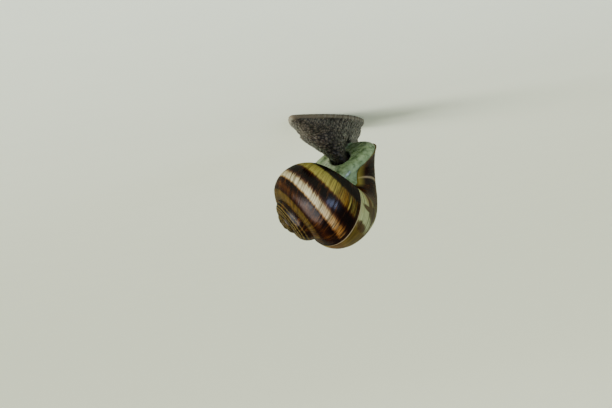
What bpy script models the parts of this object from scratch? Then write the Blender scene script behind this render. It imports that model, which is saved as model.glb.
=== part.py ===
"""A banded Roman-type land snail at life size, resting on its sole.

Metres, +Z up.  The sole stands on Z = 0, the animal faces +X and its left side is +Y.
The origin is on the sole, straight under the middle of the shell's mouth.
"""
import math

import bmesh
import bpy
import numpy as np
from mathutils import Matrix, Vector

# ---- driving dimensions -------------------------------------------------------------------
MM = 0.001
GAP = 0.3 * MM                      # clear cut between neighbouring pieces
TURN = 2 * math.pi

# the shell: a helicospiral, every length is a share of SHELL_UNIT
SHELL_UNIT = 22.8 * MM
EXPANSION = 2.0                     # growth in size over one whorl
AXIS_TO_TUBE = 0.521                # coiling axis to the middle of the whorl
TUBE_WIDE = 0.501                   # half width of a whorl, away from the axis
TUBE_HIGH = 0.602                   # half height of a whorl on its apex side
TUBE_LOW = 0.68                     # half height of a whorl on its base side
TUBE_DOWN = 0.960                   # whorl middle below the apex
LAST_DROP = 0.20                    # how far the last part of the whorl sinks
DROP_SPAN = 2.0                     # radians over which it sinks
DROP_LIMIT = 1.2                    # the sinking stops this far past the lip
LIP_FLARE = 0.04                    # widening of the whorl at the lip
SPIRE_SPAN = (3.6, 6.6)             # radians back from the lip over which the spire's form sets in
SPIRE_WIDER = 0.08                  # the spire's whorls are wider than the last one by this
SPIRE_OUT = 0.04                    # and their middle lies further from the axis
SPIRE_LIFT = 0.10                   # and higher
WHORLS = 4.0
GROWTH_STOP = 1.55                  # radians from the lip back to last season's edge
LIP_SPAN = 0.30                     # radians taken by the lip ring
CUT_REACH = 0.06                    # radians a cutter runs past the piece it makes room for
MOUTH_REACH = (0.10, 0.12)          # radians the mouth's cutter runs behind and past the lip ring
LIP_WALL = 1.1 * MM
APEX_ROUNDING = (0.50, 0.84, 0.96)  # shares of full width of the first sections
SHELL_AZIMUTH = math.radians(-112.0)    # where the apex points, from the heading
SHELL_PITCH = math.radians(25.3)        # apex above the horizontal
LIP_ANGLE = math.radians(-21.8)         # the lip's place round the coiling axis
MOUTH_HEIGHT = 17.0 * MM                # middle of the shell's mouth above the floor
RING_POINTS = 26
STEPS_PER_WHORL = 24
SPIRE_POINTS = (12, 16)             # sections of the apex and the spire are coarser
SPIRE_STEPS = 16
KEEP_INNER = (-1.9 * TURN, -0.94 * TURN)    # lengths of whorl that the soft body stays clear of
KEEP_OUTER = (-TURN, -LIP_SPAN)
KEEP_END = (-LIP_SPAN - 0.3, 0.0)

# the collar's swelling out of the mouth: radians past the lip, share of the mouth's width
COLLAR_SWELL = ((0.10, 0.94), (0.15, 0.80))
COLLAR_ROOM = ((0.125, 0.95), (0.18, 0.80))
COLLAR_ROOM_BACK = 0.1              # radians that the collar's clearance starts before the collar

# the foot: distance along X, half width, height
FOOT_PROFILE = ((-37.0, 0.6, 0.6), (-34.0, 2.0, 1.5), (-27.0, 4.6, 3.4), (-17.0, 7.4, 5.6),
                (-5.0, 9.4, 7.6), (7.0, 9.2, 8.0), (16.0, 7.8, 7.4), (21.0, 5.6, 5.6), (23.5, 2.4, 3.0))
FOOT_STATIONS = 30
FOOT_POINTS = 18
FOOT_TUCK = 0.12                    # the foot's back is narrower than its sole by this share
FOOT_SHOULDER = 0.85                # below 1 makes the foot's sides fuller

# the neck and head: centre X, Y, Z, half width, half height
HEAD_SPINE = ((6.0, 0.0, 4.6, 5.6, 4.0), (13.0, -0.3, 6.2, 5.6, 4.6), (19.0, -1.4, 7.2, 5.0, 4.4),
              (25.0, -3.4, 7.4, 4.7, 4.2), (29.0, -5.0, 6.6, 3.9, 3.6), (31.2, -5.9, 5.8, 2.2, 2.2))
HEAD_STATIONS = 16
HEAD_POINTS = 18

# the stalk of the body between foot and shell
STALK_FOOT_CENTRE = Vector((-4.5, -0.8, 4.0)) * MM
STALK_FOOT_LONG = 13.5 * MM
STALK_FOOT_WIDE = 7.4 * MM
STALK_TOP_SHARES = (0.56, 0.32)        # length and width of the stalk against the shell's mouth
STALK_TOP_DEPTH = 0.5 * MM             # how far into the mouth the stalk runs
STALK_TOP_LOW = 2.8 * MM               # how far from the mouth's middle, away from the apex, it enters
STALK_WAIST = 0.08
STALK_STATIONS = 9
STALK_POINTS = 24

# where the body is parted
TAIL_CUT = -17.0 * MM
NECK_CUT = 9.0 * MM
HEAD_CUT = 20.5 * MM
FOOT_TOP_CUT = 7.2 * MM
FRONT_FOOT_TOP_CUT = 2.6 * MM
FAR = 60 * MM                       # beyond the body in every direction
MOUTH_CENTRE = Vector((30.1, -5.5, 4.3)) * MM
MOUTH_RADIUS = 1.5 * MM
MOUTH_FACETS = (14, 8)              # segments and rings of the sphere

# tentacles
UPPER_TENTACLE_ROOT = Vector((27.2, -4.2, 9.6)) * MM
UPPER_TENTACLE_SPREAD = 2.5 * MM
UPPER_TENTACLE_LENGTH = 9.5 * MM
UPPER_TENTACLE_RADII = (1.15 * MM, 0.75 * MM)
UPPER_TENTACLE_RISE = math.radians(56.0)
UPPER_TENTACLE_OPEN = math.radians(24.0)
KNOB_RADIUS = 1.15 * MM
KNOB_FACETS = (14, 9)
EYE_RADIUS = 0.55 * MM
EYE_DEPTH = 0.3                     # share of the eye's radius that it sits back in the knob
EYE_FACETS = (12, 8)
STEM_POINTS = 12
STEM_SECTIONS = 5
LOWER_TENTACLE_ROOT = Vector((29.6, -5.2, 5.0)) * MM
LOWER_TENTACLE_SPREAD = 2.6 * MM
LOWER_TENTACLE_LENGTH = 2.8 * MM
LOWER_TENTACLE_RADII = (0.75 * MM, 0.6 * MM)
LOWER_TENTACLE_DIP = math.radians(-22.0)
LOWER_TENTACLE_OPEN = math.radians(20.0)
HEAD_TURN = math.radians(-20.0)

SHELL_ROUGHNESS = 0.35
SKIN_ROUGHNESS = 0.45
EYE_ROUGHNESS = 0.1
SHELL_COLOUR = (0.62, 0.50, 0.30, 1.0)
BAND_COLOUR = (0.10, 0.045, 0.022, 1.0)
FRESH_COLOUR = (0.50, 0.47, 0.28, 1.0)
LIP_COLOUR = (0.66, 0.58, 0.36, 1.0)
SKIN_COLOUR = (0.16, 0.14, 0.11, 1.0)
SOLE_COLOUR = (0.24, 0.21, 0.16, 1.0)
COLLAR_COLOUR = (0.42, 0.47, 0.34, 1.0)
EYE_COLOUR = (0.01, 0.01, 0.012, 1.0)


# ---- scene and helpers --------------------------------------------------------------------
def clear_scene():
    for obj in list(bpy.data.objects):
        bpy.data.objects.remove(obj, do_unlink=True)


def new_collection(name):
    collection = bpy.data.collections.new(name)
    bpy.context.scene.collection.children.link(collection)
    return collection


def material(name, colour, roughness):
    mat = bpy.data.materials.new(name)
    mat.use_nodes = True
    shader = mat.node_tree.nodes["Principled BSDF"]
    shader.inputs["Base Color"].default_value = colour
    shader.inputs["Roughness"].default_value = roughness
    shader.inputs["Metallic"].default_value = 0.0
    return mat


def add_object(name, mesh, collection, mat=None):
    obj = bpy.data.objects.new(name, mesh)
    collection.objects.link(obj)
    if mat is not None:
        mesh.materials.append(mat)
        mesh.shade_smooth()
    else:
        obj.hide_render = True
        obj.display_type = "WIRE"
    return obj


def loft(name, rings, collection, mat=None):
    """Join rings of equal point counts into a closed body and cap both ends."""
    mesh = bpy.data.meshes.new(name)
    bm = bmesh.new()
    rows = [[bm.verts.new(point) for point in ring] for ring in rings]
    count = len(rows[0])
    for near, far in zip(rows, rows[1:]):
        for i in range(count):
            j = (i + 1) % count
            bm.faces.new((near[i], near[j], far[j], far[i]))
    bm.faces.new(rows[0][::-1])
    bm.faces.new(rows[-1])
    bmesh.ops.recalc_face_normals(bm, faces=bm.faces)
    bmesh.ops.triangulate(bm, faces=[face for face in bm.faces if len(face.verts) > 4])
    bm.to_mesh(mesh)
    bm.free()
    return add_object(name, mesh, collection, mat)


def boolean(obj, cutter, operation, self_crossing=False):
    mod = obj.modifiers.new(operation.lower() + "_" + cutter.name, "BOOLEAN")
    mod.operation = operation
    mod.solver = "EXACT"
    mod.use_self = self_crossing
    mod.object = cutter


def evaluated_mesh(obj, name):
    """A mesh of the object as its modifiers leave it, in world space."""
    bpy.context.view_layer.update()
    evaluated = obj.evaluated_get(bpy.context.evaluated_depsgraph_get())
    mesh = bpy.data.meshes.new_from_object(evaluated)
    mesh.transform(obj.matrix_world)
    mesh.name = name
    return mesh


def box_cutter(name, low, high, collection):
    bm = bmesh.new()
    bmesh.ops.create_cube(bm, size=1.0)
    size = Vector(high) - Vector(low)
    middle = (Vector(high) + Vector(low)) / 2
    bmesh.ops.scale(bm, vec=size, verts=bm.verts)
    bmesh.ops.translate(bm, vec=middle, verts=bm.verts)
    mesh = bpy.data.meshes.new(name)
    bm.to_mesh(mesh)
    bm.free()
    return add_object(name, mesh, collection)


# ---- the shell ----------------------------------------------------------------------------
def shell_axes():
    """The coiling axis, the direction of the lip and their normal, in the animal's frame."""
    axis = Vector((math.cos(SHELL_PITCH) * math.cos(SHELL_AZIMUTH),
                   math.cos(SHELL_PITCH) * math.sin(SHELL_AZIMUTH), math.sin(SHELL_PITCH)))
    level = Vector((0, 0, 1)).cross(axis).normalized()
    rise = axis.cross(level)
    lip = math.cos(LIP_ANGLE) * level + math.sin(LIP_ANGLE) * rise
    return axis, lip, axis.cross(lip)


def mouth_centre_in_shell():
    return Vector((AXIS_TO_TUBE, 0.0, -(TUBE_DOWN + LAST_DROP))) * SHELL_UNIT


def shell_matrix():
    """Shell frame (apex at the origin, +Z towards the apex) to the animal's frame."""
    axis, lip, across = shell_axes()
    turn = Matrix((lip, across, axis)).transposed().to_4x4()
    place = Vector((0.0, 0.0, MOUTH_HEIGHT)) - turn @ mouth_centre_in_shell()
    return Matrix.Translation(place) @ turn


def spire_share(angle):
    """0 on the last whorl, rising smoothly to 1 on the spire."""
    start, end = SPIRE_SPAN
    share = min(max((-start - angle) / (end - start), 0.0), 1.0)
    return share * share * (3.0 - 2.0 * share)


def tube_ring(angle, grow=0.0, points=RING_POINTS):
    """One section of the whorl at an angle before the lip, thickened by grow metres."""
    size = EXPANSION ** (angle / TURN) * SHELL_UNIT
    late = min(max(1.0 + angle / DROP_SPAN, 0.0), DROP_LIMIT)
    flare = 1.0 + LIP_FLARE * late ** 3
    spire = spire_share(angle)
    middle = AXIS_TO_TUBE + TUBE_WIDE * (flare - 1.0) + SPIRE_OUT * spire
    wide = TUBE_WIDE * flare * (1.0 + SPIRE_WIDER * spire)
    down = TUBE_DOWN - SPIRE_LIFT * spire
    drop = LAST_DROP * late ** 2 * SHELL_UNIT
    ring = []
    for i in range(points):
        phi = TURN * i / points
        half = TUBE_HIGH if phi < math.pi else TUBE_LOW
        radial = size * (middle + wide * math.cos(phi)) + grow * math.cos(phi)
        height = size * (half * flare * math.sin(phi) - down) + grow * math.sin(phi) - drop
        ring.append(Vector((radial * math.cos(angle), -radial * math.sin(angle), height)))
    return ring


def shrunk(ring, share):
    middle = sum(ring, Vector()) / len(ring)
    return [middle + (point - middle) * share for point in ring]


def whorl_rings(start, end, grow=0.0, points=RING_POINTS, rounded=False):
    per_whorl = STEPS_PER_WHORL if points == RING_POINTS else SPIRE_STEPS
    steps = max(2, round(per_whorl * (end - start) / TURN))
    rings = [tube_ring(start + (end - start) * k / steps, grow, points) for k in range(steps + 1)]
    if rounded:
        for k, share in enumerate(APEX_ROUNDING):
            rings[k] = shrunk(rings[k], share)
    return rings


def cut_angle(angle):
    """Angle that opens a gap at the middle of the whorl at this place."""
    return GAP / (AXIS_TO_TUBE * SHELL_UNIT * EXPANSION ** (angle / TURN))


def make_shell(parts, cutters):
    """The shell in five lengths and a lip ring, each cut clear of the whorl before it."""
    frame = bpy.data.objects.new("shell_frame", None)
    parts.objects.link(frame)
    frame.matrix_world = shell_matrix()
    marks = (-WHORLS * TURN, -3 * TURN, -2 * TURN, -TURN, -GROWTH_STOP, -LIP_SPAN, 0.0)
    names = ("shell_apex", "shell_spire", "shell_penultimate_whorl", "shell_body_whorl",
             "shell_new_growth", "shell_lip")
    colours = (SHELL_COLOUR, SHELL_COLOUR, BAND_COLOUR, BAND_COLOUR, FRESH_COLOUR, LIP_COLOUR)
    points = SPIRE_POINTS + (RING_POINTS,) * 4
    pieces = []
    for k, name in enumerate(names):
        start = marks[k] + (cut_angle(marks[k]) if k else 0.0)
        rings = whorl_rings(start, marks[k + 1], points=points[k], rounded=(k == 0))
        piece = loft(name, rings, parts, material(name, colours[k], SHELL_ROUGHNESS))
        piece.parent = frame
        pieces.append(piece)
    inner_whorl = {1: 0, 2: 1, 3: 2, 4: 2, 5: 2}
    for k, before in inner_whorl.items():
        reach = CUT_REACH if before == 0 else 0.0
        rings = whorl_rings(marks[before] - reach, marks[before + 1] + CUT_REACH, GAP, points[before])
        cutter = loft("cut_" + names[k], rings, cutters)
        cutter.parent = frame
        boolean(pieces[k], cutter, "DIFFERENCE", self_crossing=True)
    behind, past = MOUTH_REACH
    mouth = loft("cut_mouth", whorl_rings(-LIP_SPAN - behind, past, grow=-LIP_WALL), cutters)
    mouth.parent = frame
    boolean(pieces[-1], mouth, "DIFFERENCE")
    return frame


def shell_keepouts(frame, cutters):
    """Thickened copies of the whorls that the soft body must stay clear of."""
    spans = {"keep_inner": KEEP_INNER, "keep_outer": KEEP_OUTER, "keep_end": KEEP_END}
    keepouts = []
    for name, (start, end) in spans.items():
        keep = loft(name, whorl_rings(start, end + cut_angle(end), grow=GAP), cutters)
        keep.parent = frame
        keepouts.append(keep)
    return keepouts


# ---- the soft body ------------------------------------------------------------------------
def smooth_rows(rows, count):
    """Rows of numbers read at even steps from a smooth curve through the given rows."""
    rows = np.array(rows, dtype=float)
    knots = np.concatenate(([0.0], np.cumsum(np.linalg.norm(np.diff(rows[:, :3], axis=0), axis=1))))
    slopes = np.gradient(rows, knots, axis=0)
    out = []
    for t in np.linspace(0.0, knots[-1], count):
        k = min(int(np.searchsorted(knots, t, side="right")) - 1, len(knots) - 2)
        span = knots[k + 1] - knots[k]
        u = (t - knots[k]) / span
        out.append((2 * u**3 - 3 * u**2 + 1) * rows[k] + (u**3 - 2 * u**2 + u) * span * slopes[k]
                   + (3 * u**2 - 2 * u**3) * rows[k + 1] + (u**3 - u**2) * span * slopes[k + 1])
    return np.array(out)


def foot_rings():
    rings = []
    for x, half, high in smooth_rows(FOOT_PROFILE, FOOT_STATIONS) * MM:
        ring = []
        for i in range(FOOT_POINTS):
            phi = math.pi * i / (FOOT_POINTS - 1)
            lift = max(math.sin(phi), 0.0)
            width = half * (1.0 - FOOT_TUCK * lift)
            ring.append((x, width * math.cos(phi), high * lift ** FOOT_SHOULDER))
        rings.append(ring)
    return rings


def head_rings():
    rows = smooth_rows(HEAD_SPINE, HEAD_STATIONS) * MM
    rings = []
    for x, y, z, half, high in rows:
        ring = []
        for i in range(HEAD_POINTS):
            phi = TURN * i / HEAD_POINTS
            ring.append((x, y + half * math.cos(phi), z + high * math.sin(phi)))
        rings.append(ring)
    return rings


def stalk_rings():
    axis, lip, across = shell_axes()
    mouth = Vector((0.0, 0.0, MOUTH_HEIGHT))
    top_centre = mouth + across * STALK_TOP_DEPTH - axis * STALK_TOP_LOW
    long_share, wide_share = STALK_TOP_SHARES
    top_long = lip * TUBE_WIDE * SHELL_UNIT * long_share
    top_wide = -axis * TUBE_HIGH * SHELL_UNIT * wide_share
    foot_long = Vector((STALK_FOOT_LONG, 0, 0))
    foot_wide = Vector((0, STALK_FOOT_WIDE, 0))
    rings = []
    for k in range(STALK_STATIONS):
        share = k / (STALK_STATIONS - 1)
        blend = share * share * (3 - 2 * share)
        centre = STALK_FOOT_CENTRE.lerp(top_centre, share)
        waist = 1.0 - STALK_WAIST * math.sin(math.pi * share)
        long = foot_long.lerp(top_long, blend) * waist
        wide = foot_wide.lerp(top_wide, blend) * waist
        turns = [TURN * i / STALK_POINTS for i in range(STALK_POINTS)]
        rings.append([centre + long * math.cos(turn) + wide * math.sin(turn) for turn in turns])
    return rings


def collar_rings(start, grow, swell):
    """The mouth's sections from start to the lip, then the narrowing ones that stand out of it."""
    rings = whorl_rings(start, 0.0, grow=grow)
    return rings + [shrunk(tube_ring(angle, grow), share) for angle, share in swell]


def make_collar(frame, parts, cutters, penultimate_keepout):
    """The mantle collar: a thick plug that fills the shell's mouth, bulging a little out of it."""
    start = -LIP_SPAN + cut_angle(-LIP_SPAN)
    rings = collar_rings(start, -LIP_WALL - GAP, COLLAR_SWELL)
    collar = loft("mantle_collar", rings, parts, material("mantle_collar", COLLAR_COLOUR, SHELL_ROUGHNESS))
    collar.parent = frame
    boolean(collar, penultimate_keepout, "DIFFERENCE")
    room = collar_rings(start - COLLAR_ROOM_BACK, -LIP_WALL, COLLAR_ROOM)
    keep = loft("keep_collar", room, cutters)
    keep.parent = frame
    return keep


def make_body(parts, cutters, keepouts, stems):
    """Foot, stalk, neck and head as one form, then parted by thin cuts."""
    foot = loft("form_foot", foot_rings(), cutters)
    head = loft("form_head", head_rings(), cutters)
    stalk = loft("form_stalk", stalk_rings(), cutters)
    boolean(foot, head, "UNION")
    boolean(foot, stalk, "UNION")
    for keep in keepouts:
        boolean(foot, keep, "DIFFERENCE")
    body = evaluated_mesh(foot, "form_body")
    half = GAP / 2
    sockets = stems + [sphere("cut_mouth_lobe", MOUTH_CENTRE, MOUTH_RADIUS + GAP, cutters, MOUTH_FACETS)]
    regions = {
        "tail": ((-FAR, -FAR, -MM), (TAIL_CUT - half, FAR, FAR)),
        "foot": ((TAIL_CUT + half, -FAR, -MM), (NECK_CUT - half, FAR, FOOT_TOP_CUT - half)),
        "trunk": ((TAIL_CUT + half, -FAR, FOOT_TOP_CUT + half), (NECK_CUT - half, FAR, FAR)),
        "foot_front": ((NECK_CUT + half, -FAR, -MM), (FAR, FAR, FRONT_FOOT_TOP_CUT - half)),
        "neck": ((NECK_CUT + half, -FAR, FRONT_FOOT_TOP_CUT + half), (HEAD_CUT - half, FAR, FAR)),
        "head": ((HEAD_CUT + half, -FAR, FRONT_FOOT_TOP_CUT + half), (FAR, FAR, FAR)),
    }
    for name, (low, high) in regions.items():
        colour = SOLE_COLOUR if name.startswith("foot") else SKIN_COLOUR
        piece = add_object(name, body.copy(), parts, material(name, colour, SKIN_ROUGHNESS))
        boolean(piece, box_cutter("region_" + name, low, high, cutters), "INTERSECT")
        if name == "head":
            for socket in sockets:
                boolean(piece, socket, "DIFFERENCE")
    lobe = material("mouth", SOLE_COLOUR, SKIN_ROUGHNESS)
    sphere("mouth", MOUTH_CENTRE, MOUTH_RADIUS, parts, MOUTH_FACETS, lobe)


def sphere(name, centre, radius, collection, facets, mat=None):
    bm = bmesh.new()
    bmesh.ops.create_uvsphere(bm, u_segments=facets[0], v_segments=facets[1], radius=radius)
    bmesh.ops.translate(bm, vec=centre, verts=bm.verts)
    mesh = bpy.data.meshes.new(name)
    bm.to_mesh(mesh)
    bm.free()
    return add_object(name, mesh, collection, mat)


# ---- tentacles and eyes -------------------------------------------------------------------
def heading(open_angle, rise, side):
    turn = HEAD_TURN + side * open_angle
    return Vector((math.cos(rise) * math.cos(turn), math.cos(rise) * math.sin(turn), math.sin(rise)))


def root_of(middle, spread, side):
    across = Vector((-math.sin(HEAD_TURN), math.cos(HEAD_TURN), 0.0))
    return middle + across * spread * side


def stem_rings(root, direction, length, radii, grow=0.0):
    root = root - direction * grow
    sideways = direction.cross(Vector((0, 0, 1))).normalized()
    upward = sideways.cross(direction)
    turns = [TURN * i / STEM_POINTS for i in range(STEM_POINTS)]
    rings = []
    for k in range(STEM_SECTIONS):
        share = k / (STEM_SECTIONS - 1)
        radius = radii[0] + (radii[1] - radii[0]) * share + grow
        centre = root + direction * length * share
        rings.append([centre + (sideways * math.cos(turn) + upward * math.sin(turn)) * radius
                      for turn in turns])
    return rings


def make_upper_tentacle(side, label, parts, cutters):
    """An upper tentacle with its knob and eye; returns the cutter for its socket in the head."""
    direction = heading(UPPER_TENTACLE_OPEN, UPPER_TENTACLE_RISE, side)
    root = root_of(UPPER_TENTACLE_ROOT, UPPER_TENTACLE_SPREAD, side)
    skin = material("upper_tentacle_" + label, SKIN_COLOUR, SKIN_ROUGHNESS)
    rings = stem_rings(root, direction, UPPER_TENTACLE_LENGTH, UPPER_TENTACLE_RADII)
    stem = loft("upper_tentacle_" + label, rings, parts, skin)
    knob_centre = root + direction * UPPER_TENTACLE_LENGTH
    boolean(stem, sphere("knob_" + label, knob_centre, KNOB_RADIUS, cutters, KNOB_FACETS), "UNION")
    eye_centre = knob_centre + direction * (KNOB_RADIUS - EYE_RADIUS * EYE_DEPTH)
    socket = sphere("socket_" + label, eye_centre, EYE_RADIUS + GAP, cutters, EYE_FACETS)
    boolean(stem, socket, "DIFFERENCE")
    pupil = material("eye_" + label, EYE_COLOUR, EYE_ROUGHNESS)
    sphere("eye_" + label, eye_centre, EYE_RADIUS, parts, EYE_FACETS, pupil)
    rings = stem_rings(root, direction, UPPER_TENTACLE_LENGTH / 2, UPPER_TENTACLE_RADII[:1] * 2, GAP)
    return loft("root_upper_" + label, rings, cutters)


def make_lower_tentacle(side, label, parts, cutters):
    """A short lower tentacle; returns the cutter for its socket in the head."""
    direction = heading(LOWER_TENTACLE_OPEN, LOWER_TENTACLE_DIP, side)
    root = root_of(LOWER_TENTACLE_ROOT, LOWER_TENTACLE_SPREAD, side)
    skin = material("lower_tentacle_" + label, SKIN_COLOUR, SKIN_ROUGHNESS)
    rings = stem_rings(root, direction, LOWER_TENTACLE_LENGTH, LOWER_TENTACLE_RADII)
    loft("lower_tentacle_" + label, rings, parts, skin)
    rings = stem_rings(root, direction, LOWER_TENTACLE_LENGTH, LOWER_TENTACLE_RADII[:1] * 2, GAP)
    return loft("root_lower_" + label, rings, cutters)


def main():
    clear_scene()
    parts = new_collection("garden_snail")
    cutters = new_collection("garden_snail_cutters")
    frame = make_shell(parts, cutters)
    keepouts = shell_keepouts(frame, cutters)
    keepouts.append(make_collar(frame, parts, cutters, keepouts[0]))
    bpy.context.view_layer.update()
    stems = []
    for side, label in ((1, "left"), (-1, "right")):
        stems.append(make_upper_tentacle(side, label, parts, cutters))
        stems.append(make_lower_tentacle(side, label, parts, cutters))
    make_body(parts, cutters, keepouts, stems)


main()
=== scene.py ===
"""Looks of a banded land snail: one shell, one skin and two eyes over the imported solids.

Metres, +Z up.  The sole stands on Z = 0, the animal faces +X and its left side is +Y.
"""

import logging
import math
from contextlib import contextmanager
from dataclasses import dataclass
from enum import Enum
from typing import Callable, Iterator, Sequence

import bpy
import numpy as np
from mathutils import Matrix, Vector, noise
from mathutils.bvhtree import BVHTree


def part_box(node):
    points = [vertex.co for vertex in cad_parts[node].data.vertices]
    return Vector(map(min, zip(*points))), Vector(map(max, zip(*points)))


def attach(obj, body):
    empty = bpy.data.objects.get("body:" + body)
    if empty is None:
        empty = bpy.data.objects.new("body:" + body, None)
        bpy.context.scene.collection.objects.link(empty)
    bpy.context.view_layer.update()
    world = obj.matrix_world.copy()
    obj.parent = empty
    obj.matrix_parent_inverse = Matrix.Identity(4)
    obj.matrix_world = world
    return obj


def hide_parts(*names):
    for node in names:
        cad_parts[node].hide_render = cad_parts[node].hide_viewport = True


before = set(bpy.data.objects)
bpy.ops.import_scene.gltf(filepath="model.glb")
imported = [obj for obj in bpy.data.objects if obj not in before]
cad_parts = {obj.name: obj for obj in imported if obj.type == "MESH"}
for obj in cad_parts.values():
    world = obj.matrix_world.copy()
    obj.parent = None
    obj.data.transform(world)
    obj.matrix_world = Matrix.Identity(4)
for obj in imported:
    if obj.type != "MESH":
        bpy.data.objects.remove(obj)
log = logging.getLogger("snail")

Array = np.ndarray
Piece = bpy.types.Object
Pair = tuple[float, float]
Span = Pair                                 # where a soft rise is 0 and where it is 1
Place = tuple[float, float, float]          # in millimetres
Colour = tuple[float, float, float, float]
Stop = tuple[float, int, int, int]          # a place on a scale and its display colour
MM = 0.001
TURN = 2 * math.pi


class Slot(Enum):
    """The record's material slots."""

    SHELL = "shell"
    SKIN = "skin"
    EYE = "eye"


class Side(Enum):
    """The two sides of the animal, as the sign of Y."""

    LEFT = 1
    RIGHT = -1


# ---- small tools --------------------------------------------------------------------------
def tint(red: int, green: int, blue: int) -> Colour:
    """The linear colour, with full alpha, of a display colour given from 0 to 255."""
    linear = [(value / 255) ** 2.2 for value in (red, green, blue)]
    return (linear[0], linear[1], linear[2], 1.0)


def smoothstep(low: float, high: float, value: Array) -> Array:
    """Rise softly from 0 at low to 1 at high, either way round."""
    share = np.clip((value - low) / (high - low), 0.0, 1.0)
    return share * share * (3 - 2 * share)


def smooth_rows(rows: Sequence[Sequence[float]], count: int) -> Array:
    """Read rows of numbers at even steps from a smooth curve through the given rows.

    Args:
        rows: The rows that the curve passes through.
        count: How many rows to read.

    Returns:
        The rows along the curve.
    """
    given = np.array(rows, dtype=float)
    steps = np.linalg.norm(np.diff(given[:, :3], axis=0), axis=1)
    knots = np.concatenate(([0.0], np.cumsum(steps)))
    slopes = np.gradient(given, knots, axis=0)
    read = []
    for place in np.linspace(0.0, knots[-1], count):
        k = min(int(np.searchsorted(knots, place, side="right")) - 1, len(knots) - 2)
        span = knots[k + 1] - knots[k]
        u = (place - knots[k]) / span
        read.append((2 * u**3 - 3 * u**2 + 1) * given[k] + (u**3 - 2 * u**2 + u) * span * slopes[k]
                    + (3 * u**2 - 2 * u**3) * given[k + 1] + (u**3 - u**2) * span * slopes[k + 1])
    return np.array(read)


def wander(seed: int, step: float, place: Array) -> Array:
    """A smooth random line between -1 and 1, new at each step, read at each place.

    Args:
        seed: Which line.
        step: The distance between its new values.
        place: Where it is read.

    Returns:
        The line's value at each place.
    """
    count = 4096
    values = np.random.default_rng(seed).uniform(-1.0, 1.0, count)
    whole = np.floor(place / step).astype(int)
    share = smoothstep(0.0, 1.0, place / step - whole)
    return values[whole % count] * (1 - share) + values[(whole + 1) % count] * share


def mm(x: float, y: float, z: float) -> Vector:
    """A vector given in millimetres, in metres."""
    return Vector((x, y, z)) * MM


def heading(azimuth: float, elevation: float = 0.0) -> Vector:
    """The direction at an azimuth from +X and an elevation, both in radians."""
    level = math.cos(elevation)
    return Vector((level * math.cos(azimuth), level * math.sin(azimuth), math.sin(elevation)))


def select_only(piece: Piece) -> None:
    """Make a piece the active object and the only selected one.

    Args:
        piece: The piece.
    """
    bpy.ops.object.select_all(action="DESELECT")
    piece.select_set(True)
    bpy.context.view_layer.objects.active = piece


def settle() -> None:
    """Apply the selected object's place, turn and size to its mesh."""
    bpy.ops.object.transform_apply(location=True, rotation=True, scale=True)


@contextmanager
def editing(piece: Piece) -> Iterator[None]:
    """Hold a piece, alone, in edit mode.

    Args:
        piece: The piece to edit.

    Yields:
        Nothing, while the piece is in edit mode.
    """
    select_only(piece)
    bpy.ops.object.mode_set(mode="EDIT")
    yield
    bpy.ops.object.mode_set(mode="OBJECT")


def points_of(mesh: bpy.types.Mesh) -> Array:
    """The places of a mesh's vertices, one row each.

    Args:
        mesh: The mesh.

    Returns:
        The places, in the piece's own frame.
    """
    flat = np.empty(len(mesh.vertices) * 3)
    mesh.vertices.foreach_get("co", flat)
    return flat.reshape(-1, 3)


def move_points(mesh: bpy.types.Mesh, places: Array) -> None:
    """Put a mesh's vertices at new places, one row each."""
    mesh.vertices.foreach_set("co", np.ascontiguousarray(places, dtype=np.float32).ravel())
    mesh.update()


def write_values(mesh: bpy.types.Mesh, values: dict[str, Array]) -> None:
    """Keep numbers for each vertex under names that materials can read.

    Args:
        mesh: The mesh.
        values: One number for each vertex, by name.
    """
    for name, each in values.items():
        attribute = mesh.attributes.new(name, "FLOAT", "POINT")
        attribute.data.foreach_set("value", np.asarray(each, dtype=np.float32))


def straight_tube(name: str, sides: int, rings: int, poles: Sequence[int] = (0,), cuts: int = 0) -> Piece:
    """Extrude a circle into a straight tube along X, one ring at each whole number.

    Args:
        name: The piece's name.
        sides: Points round the circle.
        rings: Rings along the tube.
        poles: The end rings that are drawn together into one point.
        cuts: Extra cuts of every edge before that.

    Returns:
        The tube of radius 1, lying along +X from the origin.
    """
    bpy.ops.mesh.primitive_circle_add(vertices=sides, radius=1.0, rotation=(0.0, math.pi / 2, 0.0))
    piece = bpy.context.active_object
    piece.name = piece.data.name = name
    settle()
    with editing(piece):
        bpy.ops.mesh.select_all(action="SELECT")
        for _ in range(rings - 1):
            bpy.ops.mesh.extrude_region_move(TRANSFORM_OT_translate={"value": (1.0, 0.0, 0.0)})
        if cuts:
            bpy.ops.mesh.select_all(action="SELECT")
            bpy.ops.mesh.subdivide(number_cuts=cuts)
    for ring in poles:
        mesh = piece.data
        for parts in (mesh.polygons, mesh.edges):
            parts.foreach_set("select", np.zeros(len(parts), dtype=bool))
        mesh.vertices.foreach_set("select", np.abs(points_of(mesh)[:, 0] - ring) < 0.01)
        with editing(piece):
            bpy.ops.mesh.select_mode(type="VERT")
            bpy.ops.mesh.merge(type="CENTER")
    return piece


def unroll(piece: Piece) -> tuple[Array, Array, Array, Array, Array]:
    """Read a straight tube's vertices before it is bent.

    Returns:
        Each vertex's place along the tube, its two coordinates across it, its angle round the tube,
        and whether it is a pole.
    """
    along, first, second = points_of(piece.data).T
    return along, first, second, np.arctan2(second, first), np.hypot(first, second) < 0.5


def face_outwards(piece: Piece, weld: float = 0.0) -> None:
    """Merge vertices closer than weld, where asked, then turn every face outwards.

    Args:
        piece: The piece.
        weld: The distance in metres, or 0 to merge nothing.
    """
    with editing(piece):
        bpy.ops.mesh.select_all(action="SELECT")
        if weld:
            bpy.ops.mesh.remove_doubles(threshold=weld)
        bpy.ops.mesh.normals_make_consistent(inside=False)


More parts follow.
